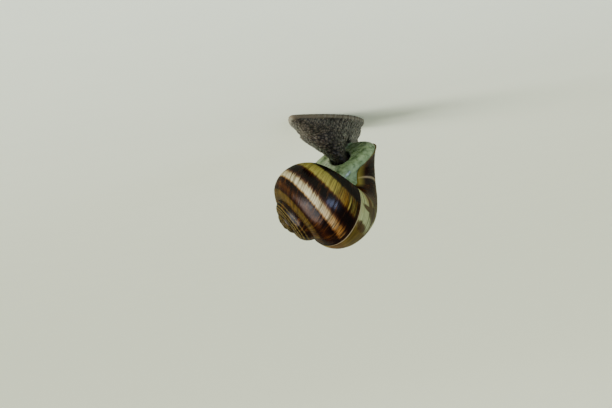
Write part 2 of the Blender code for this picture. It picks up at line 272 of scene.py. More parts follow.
def apply_modifier(piece: Piece, kind: str, **settings: object) -> None:
    """Add a modifier of a kind with its settings and apply it.

    Args:
        piece: The piece.
        kind: The modifier's type.
        **settings: Its properties.
    """
    select_only(piece)
    modifier = piece.modifiers.new(kind.lower(), kind)
    for name, value in settings.items():
        setattr(modifier, name, value)
    bpy.ops.object.modifier_apply(modifier=modifier.name)


def finish_piece(piece: Piece, nodes: Sequence[str]) -> None:
    """Shade a piece smooth, fix it to the frame, hide the nodes that it stands for, and report it.

    Args:
        piece: The finished piece.
        nodes: The solids that it stands in for.
    """
    piece.data.shade_smooth()
    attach(piece, "root")
    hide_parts(*nodes)
    triangles = sum(len(face.vertices) - 2 for face in piece.data.polygons)
    log.info("%s: %d triangles", piece.name, triangles)


# ---- node tools ---------------------------------------------------------------------------
@dataclass(frozen=True)
class Wash:
    """A colour laid over a surface where several of its signals are high.

    Attributes:
        rises: Each signal's name and where it rises from 0 to 1, or its name alone to take it as it is.
        share: The colour's strength where every rise is 1.
        colour: The colour.
        way: How it is mixed.
    """

    rises: tuple[tuple[str | float, ...], ...]
    share: float
    colour: Colour
    way: str = "MIX"


@dataclass(frozen=True)
class Signal:
    """A node's output that is reckoned with like a number, each step putting a node.

    Attributes:
        bench: The bench of its node tree.
        socket: The output.
    """

    bench: "Bench"
    socket: bpy.types.NodeSocket

    def reckon(self, operation: str, *others: "Signal | float") -> "Signal":
        """The result of a Math node on this signal and others."""
        return self.bench.read("Math", 0, dict(enumerate((self, *others))), operation=operation)

    def __add__(self, other: "Signal | float") -> "Signal":
        """This signal plus another."""
        return self.reckon("ADD", other)

    def __sub__(self, other: "Signal | float") -> "Signal":
        """This signal less another."""
        return self.reckon("SUBTRACT", other)

    def __mul__(self, other: "Signal | float") -> "Signal":
        """This signal times another."""
        return self.reckon("MULTIPLY", other)

    __rmul__ = __mul__

    def between(self, low: float, high: float) -> "Signal":
        """Rise softly from 0 at low to 1 at high, either way round."""
        limits = {"Value": self, "From Min": low, "From Max": high}
        return self.bench.read("MapRange", "Result", limits, interpolation_type="SMOOTHSTEP")


@dataclass(frozen=True)
class Bench:
    """A node tree and short ways to put nodes in it.

    Attributes:
        tree: The tree of a material or a group.
    """

    tree: bpy.types.NodeTree

    def fill(self, node: bpy.types.Node, inputs: dict) -> None:
        """Link a signal, or set a plain value, to each of a node's named or numbered inputs.

        Args:
            node: The node.
            inputs: A signal or a plain value for each input's name or number.
        """
        for name, value in inputs.items():
            if isinstance(value, Signal):
                self.tree.links.new(value.socket, node.inputs[name])
            else:
                node.inputs[name].default_value = value

    def put(self, kind: str, inputs: dict | None = None, **settings: object) -> bpy.types.Node:
        """Add a node, set its properties and fill its inputs.

        Args:
            kind: The node's type, without the ShaderNode in front.
            inputs: A plain value or a signal for each input's name or number.
            **settings: The node's properties.

        Returns:
            The new node.
        """
        node = self.tree.nodes.new("ShaderNode" + kind)
        for name, value in settings.items():
            setattr(node, name, value)
        self.fill(node, inputs or {})
        return node

    def read(self, kind: str, output: str | int, inputs: dict | None = None,
             **settings: object) -> Signal:
        """Put a node and return the output of a name or number."""
        return Signal(self, self.put(kind, inputs, **settings).outputs[output])

    def value(self, name: str) -> Signal:
        """Read one of the piece's own numbers by its name."""
        return self.read("Attribute", "Fac", attribute_name=name)

    def where(self) -> Signal:
        """The place on the piece."""
        return self.read("TexCoord", "Object")

    def grain(self, vector: Signal, scale: Signal | float, detail: float = 2.0,
              rough: float = 0.5) -> Signal:
        """Put a Noise texture and return its values."""
        inputs = {"Vector": vector, "Scale": scale, "Detail": detail, "Roughness": rough}
        return self.read("TexNoise", "Fac", inputs)

    def bump(self, height: Signal, strength: float, distance: float) -> Signal:
        """The normal of a surface roughened by a height."""
        return self.read("Bump", "Normal", {"Height": height, "Strength": strength, "Distance": distance})

    def blend(self, share: Signal | float, first: Signal | Colour, second: Signal | Colour,
              way: str = "MIX") -> Signal:
        """Mix two colours by a share and return the result."""
        return self.read("Mix", 2, {0: share, 6: first, 7: second}, data_type="RGBA", blend_type=way)

    def ramp(self, value: Signal, stops: Sequence[Stop]) -> Signal:
        """Colour a value by stops on its own scale, given in rising order.

        Args:
            value: The value.
            stops: The places and their display colours.

        Returns:
            The colour.
        """
        low, high = stops[0][0], stops[-1][0]
        share = self.read("MapRange", "Result", {"Value": value, "From Min": low, "From Max": high})
        node = self.put("ValToRGB", {0: share})
        band = node.color_ramp
        for k, (place, *colour) in enumerate(stops):
            at = (place - low) / (high - low)
            element = band.elements[k] if k < 2 else band.elements.new(at)
            element.position = at
            element.color = tint(*colour)
        return Signal(self, node.outputs["Color"])

    def wash(self, colour: Signal, washes: Sequence[Wash], signals: dict[str, Signal]) -> Signal:
        """Lay washes, lowest first, over a colour, reading a surface's signals by name.

        Args:
            colour: The colour below.
            washes: The washes.
            signals: The surface's signals by name.

        Returns:
            The colour with the washes over it.
        """
        for one in washes:
            rises = [signals[name].between(*span) if span else signals[name] for name, *span in one.rises]
            colour = self.blend(math.prod(rises, start=one.share), colour, one.colour, one.way)
        return colour


def new_material(name: str) -> tuple[bpy.types.Material, Bench, bpy.types.Node]:
    """Start a material and return it with its bench and its Principled shader.

    Args:
        name: The material's name.

    Returns:
        The material, its bench and its shader.
    """
    material = bpy.data.materials.new(name)
    material.use_nodes = True
    bench = Bench(material.node_tree)
    return material, bench, material.node_tree.nodes["Principled BSDF"]


def make_pore_group() -> bpy.types.NodeTree:
    """Build the shared fine grain: soft pores as a height and a mask.

    Returns:
        The group, which puts out Height and Mask.
    """
    group = bpy.data.node_groups.new("fine_grain", "ShaderNodeTree")
    for name, way, kind in (("Vector", "INPUT", "Vector"), ("Scale", "INPUT", "Float"),
                            ("Depth", "INPUT", "Float"), ("Height", "OUTPUT", "Float"),
                            ("Mask", "OUTPUT", "Float")):
        group.interface.new_socket(name, in_out=way, socket_type=f"NodeSocket{kind}")
    bench = Bench(group)
    given = group.nodes.new("NodeGroupInput")
    vector, scale, depth = (Signal(bench, given.outputs[name]) for name in ("Vector", "Scale", "Depth"))
    fine = bench.grain(vector, scale, detail=4.0, rough=0.62)
    broad = bench.grain(vector, scale * 0.23)
    result = group.nodes.new("NodeGroupOutput")
    bench.fill(result, {"Height": (fine + broad) * depth, "Mask": broad.between(0.35, 0.65)})
    return group


def pores(bench: Bench, scale: float, depth: float) -> tuple[Signal, Signal]:
    """Place the shared fine grain in a material and return its height and mask.

    Args:
        bench: The material's bench.
        scale: How fine the grain is.
        depth: How strong its height is.

    Returns:
        The height and the mask.
    """
    group = bpy.data.node_groups.get("fine_grain") or make_pore_group()
    node = bench.put("Group", {"Vector": bench.where(), "Scale": scale, "Depth": depth}, node_tree=group)
    return Signal(bench, node.outputs["Height"]), Signal(bench, node.outputs["Mask"])


# ---- the growth law -----------------------------------------------------------------------
@dataclass(frozen=True)
class Coil:
    """The shell's growth: a tube whose size rises by one factor with each turn.

    Angles are in radians.  The turn is 0 at the lip and negative before it.  Round the tube, a
    quarter turn points to the apex, 0 away from the coiling axis and minus a quarter to the base.

    Attributes:
        unit: The length that the other measures are shares of, at the lip.
        expansion: Growth in size with each turn.
        axis_to_tube: From the axis to the tube's middle.
        tube_wide: The tube's half width across the axis.
        tube_high: Its half height towards the apex.
        tube_low: Its half height towards the base.
        tube_down: How far its middle lies below the apex.
        last_drop: How far the last part drops towards the lip.
        drop_span: The turn over which the last part drops and widens towards the lip.
        drop_limit: Where the drop's law is cut off beyond the lip.
        lip_flare: Widening at the lip.
        spire_span: The turns where the spire's own form is 0 and 1.
        spire_wider: Widening of the spire's tube.
        spire_out: How far its middle moves out.
        spire_lift: How far its middle moves up.
        azimuth: The axis's direction from +X, towards the apex.
        pitch: The axis's rise above the level.
        lip_angle: The lip's place round the axis.
        mouth_height: The mouth's middle above the floor.
    """

    unit: float = 22.8 * MM
    expansion: float = 2.0
    axis_to_tube: float = 0.521
    tube_wide: float = 0.501
    tube_high: float = 0.602
    tube_low: float = 0.68
    tube_down: float = 0.960
    last_drop: float = 0.20
    drop_span: float = 2.0
    drop_limit: float = 1.2
    lip_flare: float = 0.04
    spire_span: Pair = (-3.6, -6.6)
    spire_wider: float = 0.08
    spire_out: float = 0.04
    spire_lift: float = 0.10
    azimuth: float = math.radians(-112.0)
    pitch: float = math.radians(25.3)
    lip_angle: float = math.radians(-21.8)
    mouth_height: float = 17.0 * MM

    def size(self, turn: Array) -> Array:
        """The shell's size at a turn, as a share of its size at the lip."""
        return self.expansion ** (turn / TURN)

    def turn_at(self, size: Array) -> Array:
        """The turn at which the shell has a size."""
        return TURN * np.log(size) / math.log(self.expansion)

    def length(self, turn: Array) -> Array:
        """Length in millimetres along the outside of the whorls up to a turn."""
        return self.size(turn) * self.unit / MM * TURN / math.log(self.expansion)

    def local_point(self, turn: Array, around: Array, grow: Array) -> Array:
        """Places on the tube in the shell's own frame, lifted off it by grow.

        Args:
            turn: Each point's turn.
            around: Its angle round the tube.
            grow: How far it is lifted off the tube.

        Returns:
            The places, apex at the origin and the axis along Z.
        """
        size = self.size(turn) * self.unit
        late = np.clip(1.0 + turn / self.drop_span, 0.0, self.drop_limit)
        flare = 1.0 + self.lip_flare * late**3
        spire = smoothstep(*self.spire_span, turn)
        middle = self.axis_to_tube + self.tube_wide * (flare - 1.0) + self.spire_out * spire
        wide = self.tube_wide * flare * (1.0 + self.spire_wider * spire)
        down = self.tube_down - self.spire_lift * spire
        half = np.where(np.sin(around) < 0, self.tube_low, self.tube_high) * flare
        radial = size * (middle + wide * np.cos(around)) + grow * np.cos(around)
        height = size * (half * np.sin(around) - down) + grow * np.sin(around)
        height = height - self.last_drop * late**2 * self.unit
        return np.stack([radial * np.cos(turn), -radial * np.sin(turn), height], -1)

    def matrix(self) -> Matrix:
        """From the shell's own frame, apex at the origin, to the animal's.

        Returns:
            The matrix.
        """
        axis = heading(self.azimuth, self.pitch)
        level = Vector((0, 0, 1)).cross(axis).normalized()
        lip = math.cos(self.lip_angle) * level + math.sin(self.lip_angle) * axis.cross(level)
        turn = Matrix((lip, axis.cross(lip), axis)).transposed().to_4x4()
        mouth = Vector((self.axis_to_tube, 0.0, -(self.tube_down + self.last_drop))) * self.unit
        return Matrix.Translation(Vector((0, 0, self.mouth_height)) - turn @ mouth) @ turn

    def point(self, turn: Array, around: Array, grow: Array) -> Array:
        """Places on the tube in the animal's frame."""
        matrix = np.array(self.matrix())
        return self.local_point(turn, around, grow) @ matrix[:3, :3].T + matrix[:3, 3]

    def heart(self, turn: Array) -> Array:
        """The tube's middle in the animal's frame."""
        flat = np.zeros_like(turn)
        return (self.point(turn, flat, flat) + self.point(turn, flat + math.pi, flat)) / 2

    def ahead(self) -> Vector:
        """The direction in which the tube grows at the lip, out of the mouth."""
        return -self.matrix().col[1].to_3d()


# ---- the shell ----------------------------------------------------------------------------
@dataclass
class Shell:
    """The whole shell as one closed wall, hollow behind the mouth.

    Attributes:
        coil: Its growth.
        whorls: Turns from the apex to the lip.
        sides: Points round the tube before the last cuts.
        rings: Rings along the tube before the last cuts.
        cuts: The last cuts of every edge.
        slant: How far a growth line runs ahead with each radian round the tube.
        stop: Turn of last season's edge, in radians before the lip.
        edge: The wall's edge on the axis side, behind the mouth and at the lip.
        edge_span: The turn over which that edge moves.
        top: The wall's other edge, hidden under the whorl before.
        wrap: The angle round the tube past which finishes read it as negative.
        wall: Thickness behind the lip.
        apex_round: The turn over which the tip is rounded.
        lip_round: The turn over which the lip's edge is rounded.
        edge_round: The share of the wall's width over which its long edges are rounded.
        sort_span: Turns over which the points gather on the wall's two faces.
        dent_span: Turns over which the hollow opens.
        lip_span: Turns over which the lip's pale seam starts.
        seam: Widths of the seam on the wall's outer and inner face.
        rib_steps: Millimetres between the strong and the weak growth ribs.
        rib_shares: The strong and the weak ribs' part in the whole.
        patch_step: Millimetres over which the ribs grow higher and lower.
        swell_step: Millimetres between the slow swellings.
        rib_high: The ribs' height in millimetres.
        swell_high: The slow swellings' height in millimetres.
        rim_high: The height and half width of last season's rim in millimetres.
        step_down: How far the newest shell lies lower, in millimetres.
        nodes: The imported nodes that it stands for.
    """

    coil: Coil
    whorls: float = 4.0
    sides: int = 24
    rings: int = 238
    cuts: int = 3
    slant: float = 0.36
    stop: float = math.radians(-144.0)
    edge: Pair = (math.radians(-133.0), math.radians(-160.0))
    edge_span: float = 1.05
    top: float = math.radians(125.0)
    wrap: float = math.radians(150.0)
    wall: float = 0.75 * MM
    apex_round: float = 1.3
    lip_round: float = 0.05
    edge_round: float = 0.07
    sort_span: Span = (-3.2, -1.5)
    dent_span: Span = (-1.35, -1.05)
    lip_span: Span = (-0.075, -0.01)
    seam: Pair = (0.030, 0.020)
    rib_steps: Pair = (0.50, 0.29)
    rib_shares: Pair = (0.62, 0.38)
    patch_step: float = 14.0
    swell_step: float = 3.4
    rib_high: float = 0.060
    swell_high: float = 0.055
    rim_high: Pair = (0.13, 0.45)
    step_down: float = 0.10
    nodes: tuple[str, ...] = ("shell_apex", "shell_spire", "shell_penultimate_whorl",
                              "shell_body_whorl", "shell_new_growth", "shell_lip")

    def build(self) -> Piece:
        """Model, dress and fix the shell.

        Returns:
            The finished shell.
        """
        piece = straight_tube("shell", self.sides, self.rings, cuts=self.cuts)
        self._coil_up(piece)
        face_outwards(piece, weld=0.002 * MM)
        piece.data.materials.append(ShellFinish().make())
        finish_piece(piece, self.nodes)
        return piece

    def _coil_up(self, piece: Piece) -> None:
        """Wind the straight tube into the shell and note where each vertex grew.

        Args:
            piece: The straight tube.
        """
        along, _, _, angle, pole = unroll(piece)
        first = self.coil.size(np.array(-self.whorls * TURN))
        turn = self.coil.turn_at(first + (1.0 - first) * along / (self.rings - 1))
        share = (angle / TURN) % 1.0
        outer, around = self._around(turn, share)
        inward = self.top - (self.top - self._edge_at(turn)) * np.clip(2 * share - 1, 0, 1)
        places = self.coil.point(turn + self._lean(turn, around), around, self._relief(turn, around))
        within = self.coil.point(turn + self._lean(turn, inward), inward, -self._thickness(turn, share))
        dent = np.where(outer, 0.0, smoothstep(*self.dent_span, turn))
        places = places + (within - places) * dent[:, None]
        move_points(piece.data, self._round_apex(places, turn, pole))
        around = np.where(dent > 0.5, inward, around)
        write_values(piece.data, {
            "growth": self.coil.length(turn), "fresh": self._past(turn), "rib": self._ribs(turn),
            "around": np.degrees(np.where(around > self.wrap, around - TURN, around)),
            "inside": dent, "lip": self._lip_mark(turn, share)})

    def _past(self, turn: Array) -> Array:
        """Millimetres of growth since last season's edge, less than 0 before it."""
        return (turn - self.stop) * self.coil.size(turn) * self.coil.unit / MM

    def _edge_at(self, turn: Array) -> Array:
        """Where the wall ends on the axis side at a turn."""
        share = np.clip(1.0 + turn / self.edge_span, 0.0, 1.0)
        return self.edge[0] + (self.edge[1] - self.edge[0]) * share

    def _around(self, turn: Array, share: Array) -> tuple[Array, Array]:
        """Spread the tube's points round it.

        Args:
            turn: Each vertex's turn.
            share: Each vertex's place round the straight tube, 0 to 1.

        Returns:
            Whether each vertex is on the outer half, and its angle round the shell's tube.
        """
        edge = self._edge_at(turn)
        even = edge + TURN * share
        arc = self.top - edge
        outer = share <= 0.5
        sorted_round = np.where(outer, edge + arc * 2 * share, self.top + (TURN - arc) * (2 * share - 1))
        weight = smoothstep(*self.sort_span, turn)
        return outer, even + (sorted_round - even) * weight

    def _lean(self, turn: Array, around: Array) -> Array:
        """How far ahead of its ring a point lies, as growth lines slant until near the lip.

        Args:
            turn: Each point's turn.
            around: Its angle round the shell's tube.

        Returns:
            The lead of each point, as a turn.
        """
        back = (self.top - self.edge[0]) / (TURN - (self.top - self.edge[0]))
        slanted = np.where(around <= self.top, around, self.top - (around - self.top) * back)
        return self.slant * slanted * (1.0 - smoothstep(self.stop, 0.0, turn))

    def _thickness(self, turn: Array, share: Array) -> Array:
        """The wall's thickness, rounded off towards the lip and both long edges.

        Args:
            turn: Each point's turn.
            share: Its place round the straight tube, 0 to 1.

        Returns:
            The thickness at each point.
        """
        to_lip = np.clip(-turn / self.lip_round, 0.0, 1.0)
        along = np.clip(2 * share - 1, 0.0, 1.0)
        to_edge = np.clip(np.minimum(along, 1 - along) / self.edge_round, 0.0, 1.0)
        return self.wall * np.sqrt(1 - (1 - to_lip) ** 2) * np.sqrt(1 - (1 - to_edge) ** 2)

    def _ribs(self, turn: Array) -> Array:
        """Growth ribs between -1 and 1, a little under a millimetre apart and uneven.

        Args:
            turn: Each point's turn.

        Returns:
            The ribs at each point.
        """
        length = self.coil.length(turn)
        strong, weak = (wander(seed, step, length) for seed, step in zip((3, 5), self.rib_steps))
        return self.rib_shares[0] * strong + self.rib_shares[1] * weak

    def _relief(self, turn: Array, around: Array) -> Array:
        """Height of growth ribs, slow swellings and last season's rim over the plain tube.

        Args:
            turn: Each point's turn.
            around: Its angle round the shell's tube.

        Returns:
            The height at each point.
        """
        length = self.coil.length(turn)
        patch = 0.65 + 0.35 * wander(8, self.patch_step, length + 30.0 * np.degrees(around) / 90)
        visible = smoothstep(0.0, -0.08, turn)
        swell = self.swell_high * wander(11, self.swell_step, length)
        height = self.rib_high * self._ribs(turn) * patch + swell
        height = height * np.clip(self.coil.size(turn) * 1.6, 0.3, 1.0) * visible
        past = self._past(turn)
        high, wide = self.rim_high
        rim = high * np.exp(-(past / wide) ** 2) - self.step_down * smoothstep(0.0, 0.5, past) * visible
        return (height + rim) * MM

    def _round_apex(self, places: Array, turn: Array, pole: Array) -> Array:
        """Draw the first rings together into a rounded tip.

        Args:
            places: The shell's points.
            turn: Each point's turn.
            pole: Whether it is a pole.

        Returns:
            The points' new places.
        """
        start = -self.whorls * TURN
        rise = np.clip((turn - start) / self.apex_round, 0.0, 1.0)
        share = np.where(pole, 0.0, np.sqrt(1 - (1 - rise) ** 2))
        heart = self.coil.heart(turn)
        return heart + (places - heart) * share[:, None]

    def _lip_mark(self, turn: Array, share: Array) -> Array:
        """1 at the mouth's edge, falling to 0 within the pale seam beside it.

        Args:
            turn: Each point's turn.
            share: Its place round the straight tube, 0 to 1.

        Returns:
            The mark at each point.
        """
        side = np.maximum(1 - share / self.seam[0], 1 - (1 - share) / self.seam[1])
        side = np.clip(side, 0.0, 1.0) * smoothstep(*self.dent_span, turn)
        return np.maximum(smoothstep(*self.lip_span, turn), side)


@dataclass(frozen=True)
class Blotch:
    """A brown blotch on the newest shell.

    Attributes:
        past: Millimetres of growth from last season's rim to its middle.
        angle: Degrees round the tube to its middle.
        along: Its half length along the growth, in millimetres.
        across: Its half width round the tube, in degrees.
    """

    past: float
    angle: float
    along: float
    across: float


@dataclass(frozen=True)
class ShellFinish:
    """Glossy banded shell under a thin horny skin, with growth streaks and a fresh last part.

    Places round the tube are in degrees, a quarter turn being the apex side.  The signals are growth
    in millimetres from the apex, fresh in millimetres past last season's edge, around in degrees,
    rib, lip and inside from the shell, and lines, broad and spots from noise.

    Attributes:
        old: Last season's bands round the tube.
        spire: The spire's narrow bands.
        fresh: The newest shell's bands.
        blotches: The newest shell's brown blotches.
        horn: Pale horn of the resting lines.
        rim: Dark horn of last season's edge.
        old_washes: Amber, then dark streaks before the edge.
        new_washes: Pale green, olive painted shade on one limb of the newest shell, the brown spots, the
            resting line, and the edge's pale border.
        last_washes: Dark edge, dark lines, dark grooves, amber streaks, yellow lip and the lining.
        season_span: Growth over which the new bands take over from the old ones.
        spire_span: Length from the apex over which the body's bands pass into the spire's.
        waver: How far, in degrees, every band's edge wavers.
        tooth_at: The angle of the one ragged edge.
        tooth_reach: Distance from it where the teeth end, and where they are full.
        tooth_grow: Length from the apex over which they shrink, and their small and added size.
        gap_span: The noise that leaves gaps between them.
        patch_span: The noise over which a scattered patch turns brown.
        patch_fresh: Growth past the edge over which the patches start.
        blotch_span: The measure of distance over which a blotch fades.
        blotch_broken: How much noise breaks up a blotch's outline.
        line_scale: Scales of the fine lines along the growth and round the tube.
        broad_scale: The same for the broad streaks.
        ragged_scale: The same for the ragged edge.
        gap_scale: The same for the gaps between its teeth.
        patch_scale: The same for the scattered patches.
        depth: Exponent that deepens all the colours.
    """

    old: tuple[Stop, ...] = (
        (-210, 84, 60, 46), (-152, 92, 62, 48), (-136, 66, 38, 26), (-112, 52, 30, 20),
        (-96, 60, 38, 24), (-84, 34, 26, 16), (-52, 24, 24, 15), (-46, 50, 40, 20), (-42, 146, 138, 74),
        (-22, 156, 146, 82), (-18, 78, 48, 24), (-14, 26, 15, 12), (-2, 30, 17, 15), (3, 66, 44, 34),
        (7, 128, 108, 84), (10, 176, 166, 132), (20, 190, 182, 152), (24, 132, 104, 66),
        (26, 34, 16, 12), (34, 42, 22, 12), (43, 72, 46, 22), (51, 56, 33, 15), (56, 44, 26, 14),
        (60, 84, 70, 36), (70, 86, 72, 38), (80, 76, 63, 34), (90, 64, 52, 31), (112, 56, 40, 24),
        (150, 70, 50, 32))
    spire: tuple[Stop, ...] = (
        (-210, 80, 60, 44), (10, 50, 34, 26), (28, 38, 25, 18), (32, 100, 86, 50), (36, 34, 24, 15),
        (43, 36, 25, 16), (47, 116, 102, 58), (51, 32, 23, 14), (56, 34, 24, 15), (60, 122, 108, 62),
        (64, 34, 24, 15), (69, 36, 26, 16), (73, 118, 104, 60), (78, 36, 26, 16), (84, 38, 28, 18),
        (89, 112, 98, 56), (95, 40, 30, 19), (104, 86, 72, 44), (150, 68, 52, 36))
    fresh: tuple[Stop, ...] = (
        (-210, 112, 90, 70), (-152, 104, 72, 60), (-136, 82, 52, 40), (-112, 62, 36, 26),
        (-96, 78, 54, 38), (-86, 116, 106, 70), (-70, 150, 142, 94), (-54, 170, 174, 126),
        (-24, 178, 182, 134), (-12, 108, 92, 44), (4, 98, 84, 38), (22, 106, 88, 42), (30, 88, 66, 30),
        (48, 94, 72, 34), (60, 130, 118, 68), (92, 130, 112, 70), (150, 104, 84, 56))
    blotches: tuple[Blotch, ...] = (
        Blotch(8.8, -78, 1.9, 38), Blotch(11.5, -47, 4.2, 17), Blotch(5.8, -52, 3.8, 4.5),
        Blotch(4.8, -19, 3.4, 7), Blotch(17.0, -112, 7.0, 9))
    horn: Colour = tint(188, 172, 140)
    rim: Colour = tint(34, 16, 10)
    old_washes: tuple[Wash, ...] = (
        Wash((("fresh", -17.0, -5.0), ("broad", 0.30, 0.52)), 0.9, tint(190, 140, 64), "MULTIPLY"),
        Wash((("fresh", -16.0, -2.0), ("lines", 0.58, 0.44)), 0.78, rim))
    new_washes: tuple[Wash, ...] = (
        Wash((("fresh", 6.5, 3.0), ("around", -108.0, -92.0), ("around", -32.0, -46.0)), 0.75,
             tint(168, 172, 124)),
        # Painted shade: the newest shell's limb is darkened to olive-brown.
        Wash((("fresh", 8.0, 14.0), ("around", -32.0, -60.0)), 0.75, tint(108, 86, 46), "MULTIPLY"),
        Wash((("spots",),), 0.84, tint(72, 44, 20)),
        Wash((("fresh", 34.6, 36.2), ("fresh", 37.8, 37.0)), 0.6, horn),
        Wash((("fresh", 0.15, 0.45), ("fresh", 1.1, 0.6)), 0.7, horn))
    last_washes: tuple[Wash, ...] = (
        Wash((("fresh", -2.2, -0.6), ("fresh", 0.35, 0.05)), 0.90, rim),
        Wash((("lines", 0.52, 0.36),), 0.45, tint(60, 42, 26), "MULTIPLY"),
        Wash((("rib", 0.05, -0.42), ("broad", 0.62, 0.40)), 0.62, tint(96, 72, 46), "MULTIPLY"),
        Wash((("broad", 0.52, 0.66), ("lines", 0.40, 0.60)), 0.34, tint(128, 88, 40)),
        Wash((("lip",),), 0.85, tint(158, 148, 74)),
        Wash((("inside",),), 1.0, tint(112, 92, 70)))
    season_span: Span = (0.0, 0.35)
    spire_span: Span = (92.0, 78.0)
    waver: float = 9.0
    tooth_at: float = 6.0
    tooth_reach: Span = (12.0, 2.0)
    tooth_grow: tuple[Span, Span] = ((150.0, 130.0), (5.0, 30.0))
    gap_span: Span = (0.30, 0.66)
    patch_span: Span = (0.50, 0.60)
    patch_fresh: Span = (9.0, 14.0)
    blotch_span: Span = (-1.7, -2.7)
    blotch_broken: float = 3.0
    line_scale: Pair = (2.6, 0.024)
    broad_scale: Pair = (0.50, 0.018)
    ragged_scale: Pair = (1.3, 0.004)
    gap_scale: Pair = (0.30, 0.004)
    patch_scale: Pair = (0.13, 0.034)
    depth: float = 1.22

    def make(self) -> bpy.types.Material:
        """Build the material.

        Returns:
            The material.
        """
        material, bench, shader = new_material("shell_bands")
        names = ("growth", "around", "fresh", "rib", "lip", "inside")
        signals = {name: bench.value(name) for name in names}
        signals["lines"] = lines = self._lines(signals, *self.line_scale)
        signals["broad"] = self._lines(signals, *self.broad_scale)
        signals["spots"] = self._spots(signals)
        old = bench.wash(self._bands(signals), self.old_washes, signals)
        new = bench.wash(bench.ramp(signals["around"], self.fresh), self.new_washes, signals)
        colour = bench.blend(signals["fresh"].between(*self.season_span), old, new)
        colour = bench.wash(colour, self.last_washes, signals)
        height, mask = pores(bench, 900.0, 0.35)
        rough = mask * 0.10 + 0.24 + lines * 0.10 + signals["growth"].between(95.0, 60.0) * 0.20
        bench.fill(shader, {
            "Base Color": bench.read("Gamma", "Color", {"Color": colour, "Gamma": self.depth}),
            "Roughness": rough, "Normal": bench.bump(lines + height, 0.55, 0.00006), "IOR": 1.5,
            "Specular IOR Level": 0.0, "Coat Weight": 0.10, "Coat IOR": 1.9, "Coat Roughness": 0.22,
            "Subsurface Weight": 0.05, "Subsurface Radius": (0.0012, 0.0007, 0.0004)})
        return material

    def _lines(self, signals: dict[str, Signal], along: float, across: float) -> Signal:
        """Noise drawn out along the growth lines, by its scales along and across the growth.

        Args:
            signals: The surface's signals by name.
            along: The scale along the growth.
            across: The scale round the tube.

        Returns:
            The noise.
        """
        bench = signals["growth"].bench
        place = {"X": signals["growth"] * along, "Y": signals["around"] * across}
        return bench.grain(bench.read("CombineXYZ", 0, place), 1.0, detail=3.0, rough=0.6)

    def _bands(self, signals: dict[str, Signal]) -> Signal:
        """Old shell's bands with ragged edges, passing into the spire's narrow ones.

        Args:
            signals: The surface's signals by name.

        Returns:
            The bands' colour.
        """
        growth, around = signals["growth"], signals["around"]
        bench = growth.bench
        ragged = self._lines(signals, *self.ragged_scale) - 0.5
        near = (around - self.tooth_at).reckon("ABSOLUTE").between(*self.tooth_reach)
        span, (small, more) = self.tooth_grow
        gaps = self._lines(signals, *self.gap_scale).between(*self.gap_span)
        teeth = (growth.between(*span) * more + small) * gaps
        around = around + ragged * self.waver + ragged * teeth * near
        body, spire = bench.ramp(around, self.old), bench.ramp(around, self.spire)
        return bench.blend(growth.between(*self.spire_span), body, spire)

    def _spots(self, signals: dict[str, Signal]) -> Signal:
        """Where the newest shell is brown: in scattered patches and in the blotches.

        Args:
            signals: The surface's signals by name.

        Returns:
            The brown's strength, 0 to 1.
        """
        fresh, around = signals["fresh"], signals["around"]
        patches = self._lines(signals, *self.patch_scale)
        broken = (patches + signals["lines"]) * self.blotch_broken
        spots = patches.between(*self.patch_span) * fresh.between(*self.patch_fresh)
        for blotch in self.blotches:
            along = (fresh - blotch.past) * (1 / blotch.along)
            across = (around - blotch.angle) * (1 / blotch.across)
            away = along * along + across * across - broken
            spots = spots.reckon("MAXIMUM", away.between(*self.blotch_span))
        return spots


# ---- the soft body ------------------------------------------------------------------------
@dataclass(frozen=True)
class Station:
    """One section of a swept form.

    Attributes:
        centre: The section's middle.
        across: From the middle to its side.
        up: From the middle to its top.
    """

    centre: Vector
    across: Vector
    up: Vector


def sweep(name: str, stations: Sequence[Station], sides: int,
          section: Callable[[Array, Array], tuple[Array, Array]] | None = None) -> Piece:
    """Extrude a closed form through its sections.

    Args:
        name: The form's name.
        stations: Its sections; the first and last are drawn together into poles.
        sides: Points round each section.
        section: Turns the circle's two coordinates into another outline's.

    Returns:
        The form.
    """
    piece = straight_tube(name, sides, len(stations), (0, len(stations) - 1))
    along, first, second, _, _ = unroll(piece)
    k = np.rint(along).astype(int)
    if section is not None:
        first, second = section(first, second)
    centre, across, up = (np.array([getattr(s, part) for s in stations])[k] for part in
                          ("centre", "across", "up"))
    move_points(piece.data, centre + across * first[:, None] + up * second[:, None])
    face_outwards(piece)
    return piece


@dataclass
class Tentacle:
    """A feeler: a tapering stem, with a knob that holds the eye on an upper one.

    Attributes:
        name: Its name.
        root: Its start inside the head.
        direction: Where it points.
        length: From the root to the middle of its tip.
        radii: The stem's radius at the root and at the tip.
        bow: How far its middle is bent up.
        knob: The knob's radius, or 0 for none.
        stations: Sections along it.
        sides: Points round it.
    """

    name: str
    root: Vector
    direction: Vector
    length: float
    radii: Pair
    bow: float = 0.0
    knob: float = 0.0
    stations: int = 22
    sides: int = 16

    def build(self) -> Piece:
        """Sweep the stem from inside the head to its tip.

        Returns:
            The feeler's form.
        """
        sideways = self.direction.cross(Vector((0, 0, 1))).normalized()
        upward = sideways.cross(self.direction)
        tip = self.knob or self.radii[1]
        reach = self.length + tip
        stations = []
        for k in range(self.stations):
            share = k / (self.stations - 1)
            along = reach * share
            radius = self._radius(along, reach, tip)
            bend = self.bow * math.sin(math.pi * min(along / reach, 1.0))
            centre = self.root + self.direction * along + upward * bend
            stations.append(Station(centre, sideways * radius, upward * radius))
        return sweep(self.name, stations, self.sides)

    def _radius(self, along: float, reach: float, tip: float) -> float:
        """The stem's radius at a distance from its root.

        Args:
            along: The distance.
            reach: The whole length, tip and all.
            tip: The tip's radius.

        Returns:
            The radius there.
        """
        stem = self.radii[0] + (self.radii[1] - self.radii[0]) * (along / reach) ** 0.6
        from_middle = along - (reach - tip)
        if from_middle > -tip:
            ball = math.sqrt(max(tip * tip - from_middle * from_middle, 1e-12))
            return ball if from_middle > 0 else max(ball, stem)
        return stem


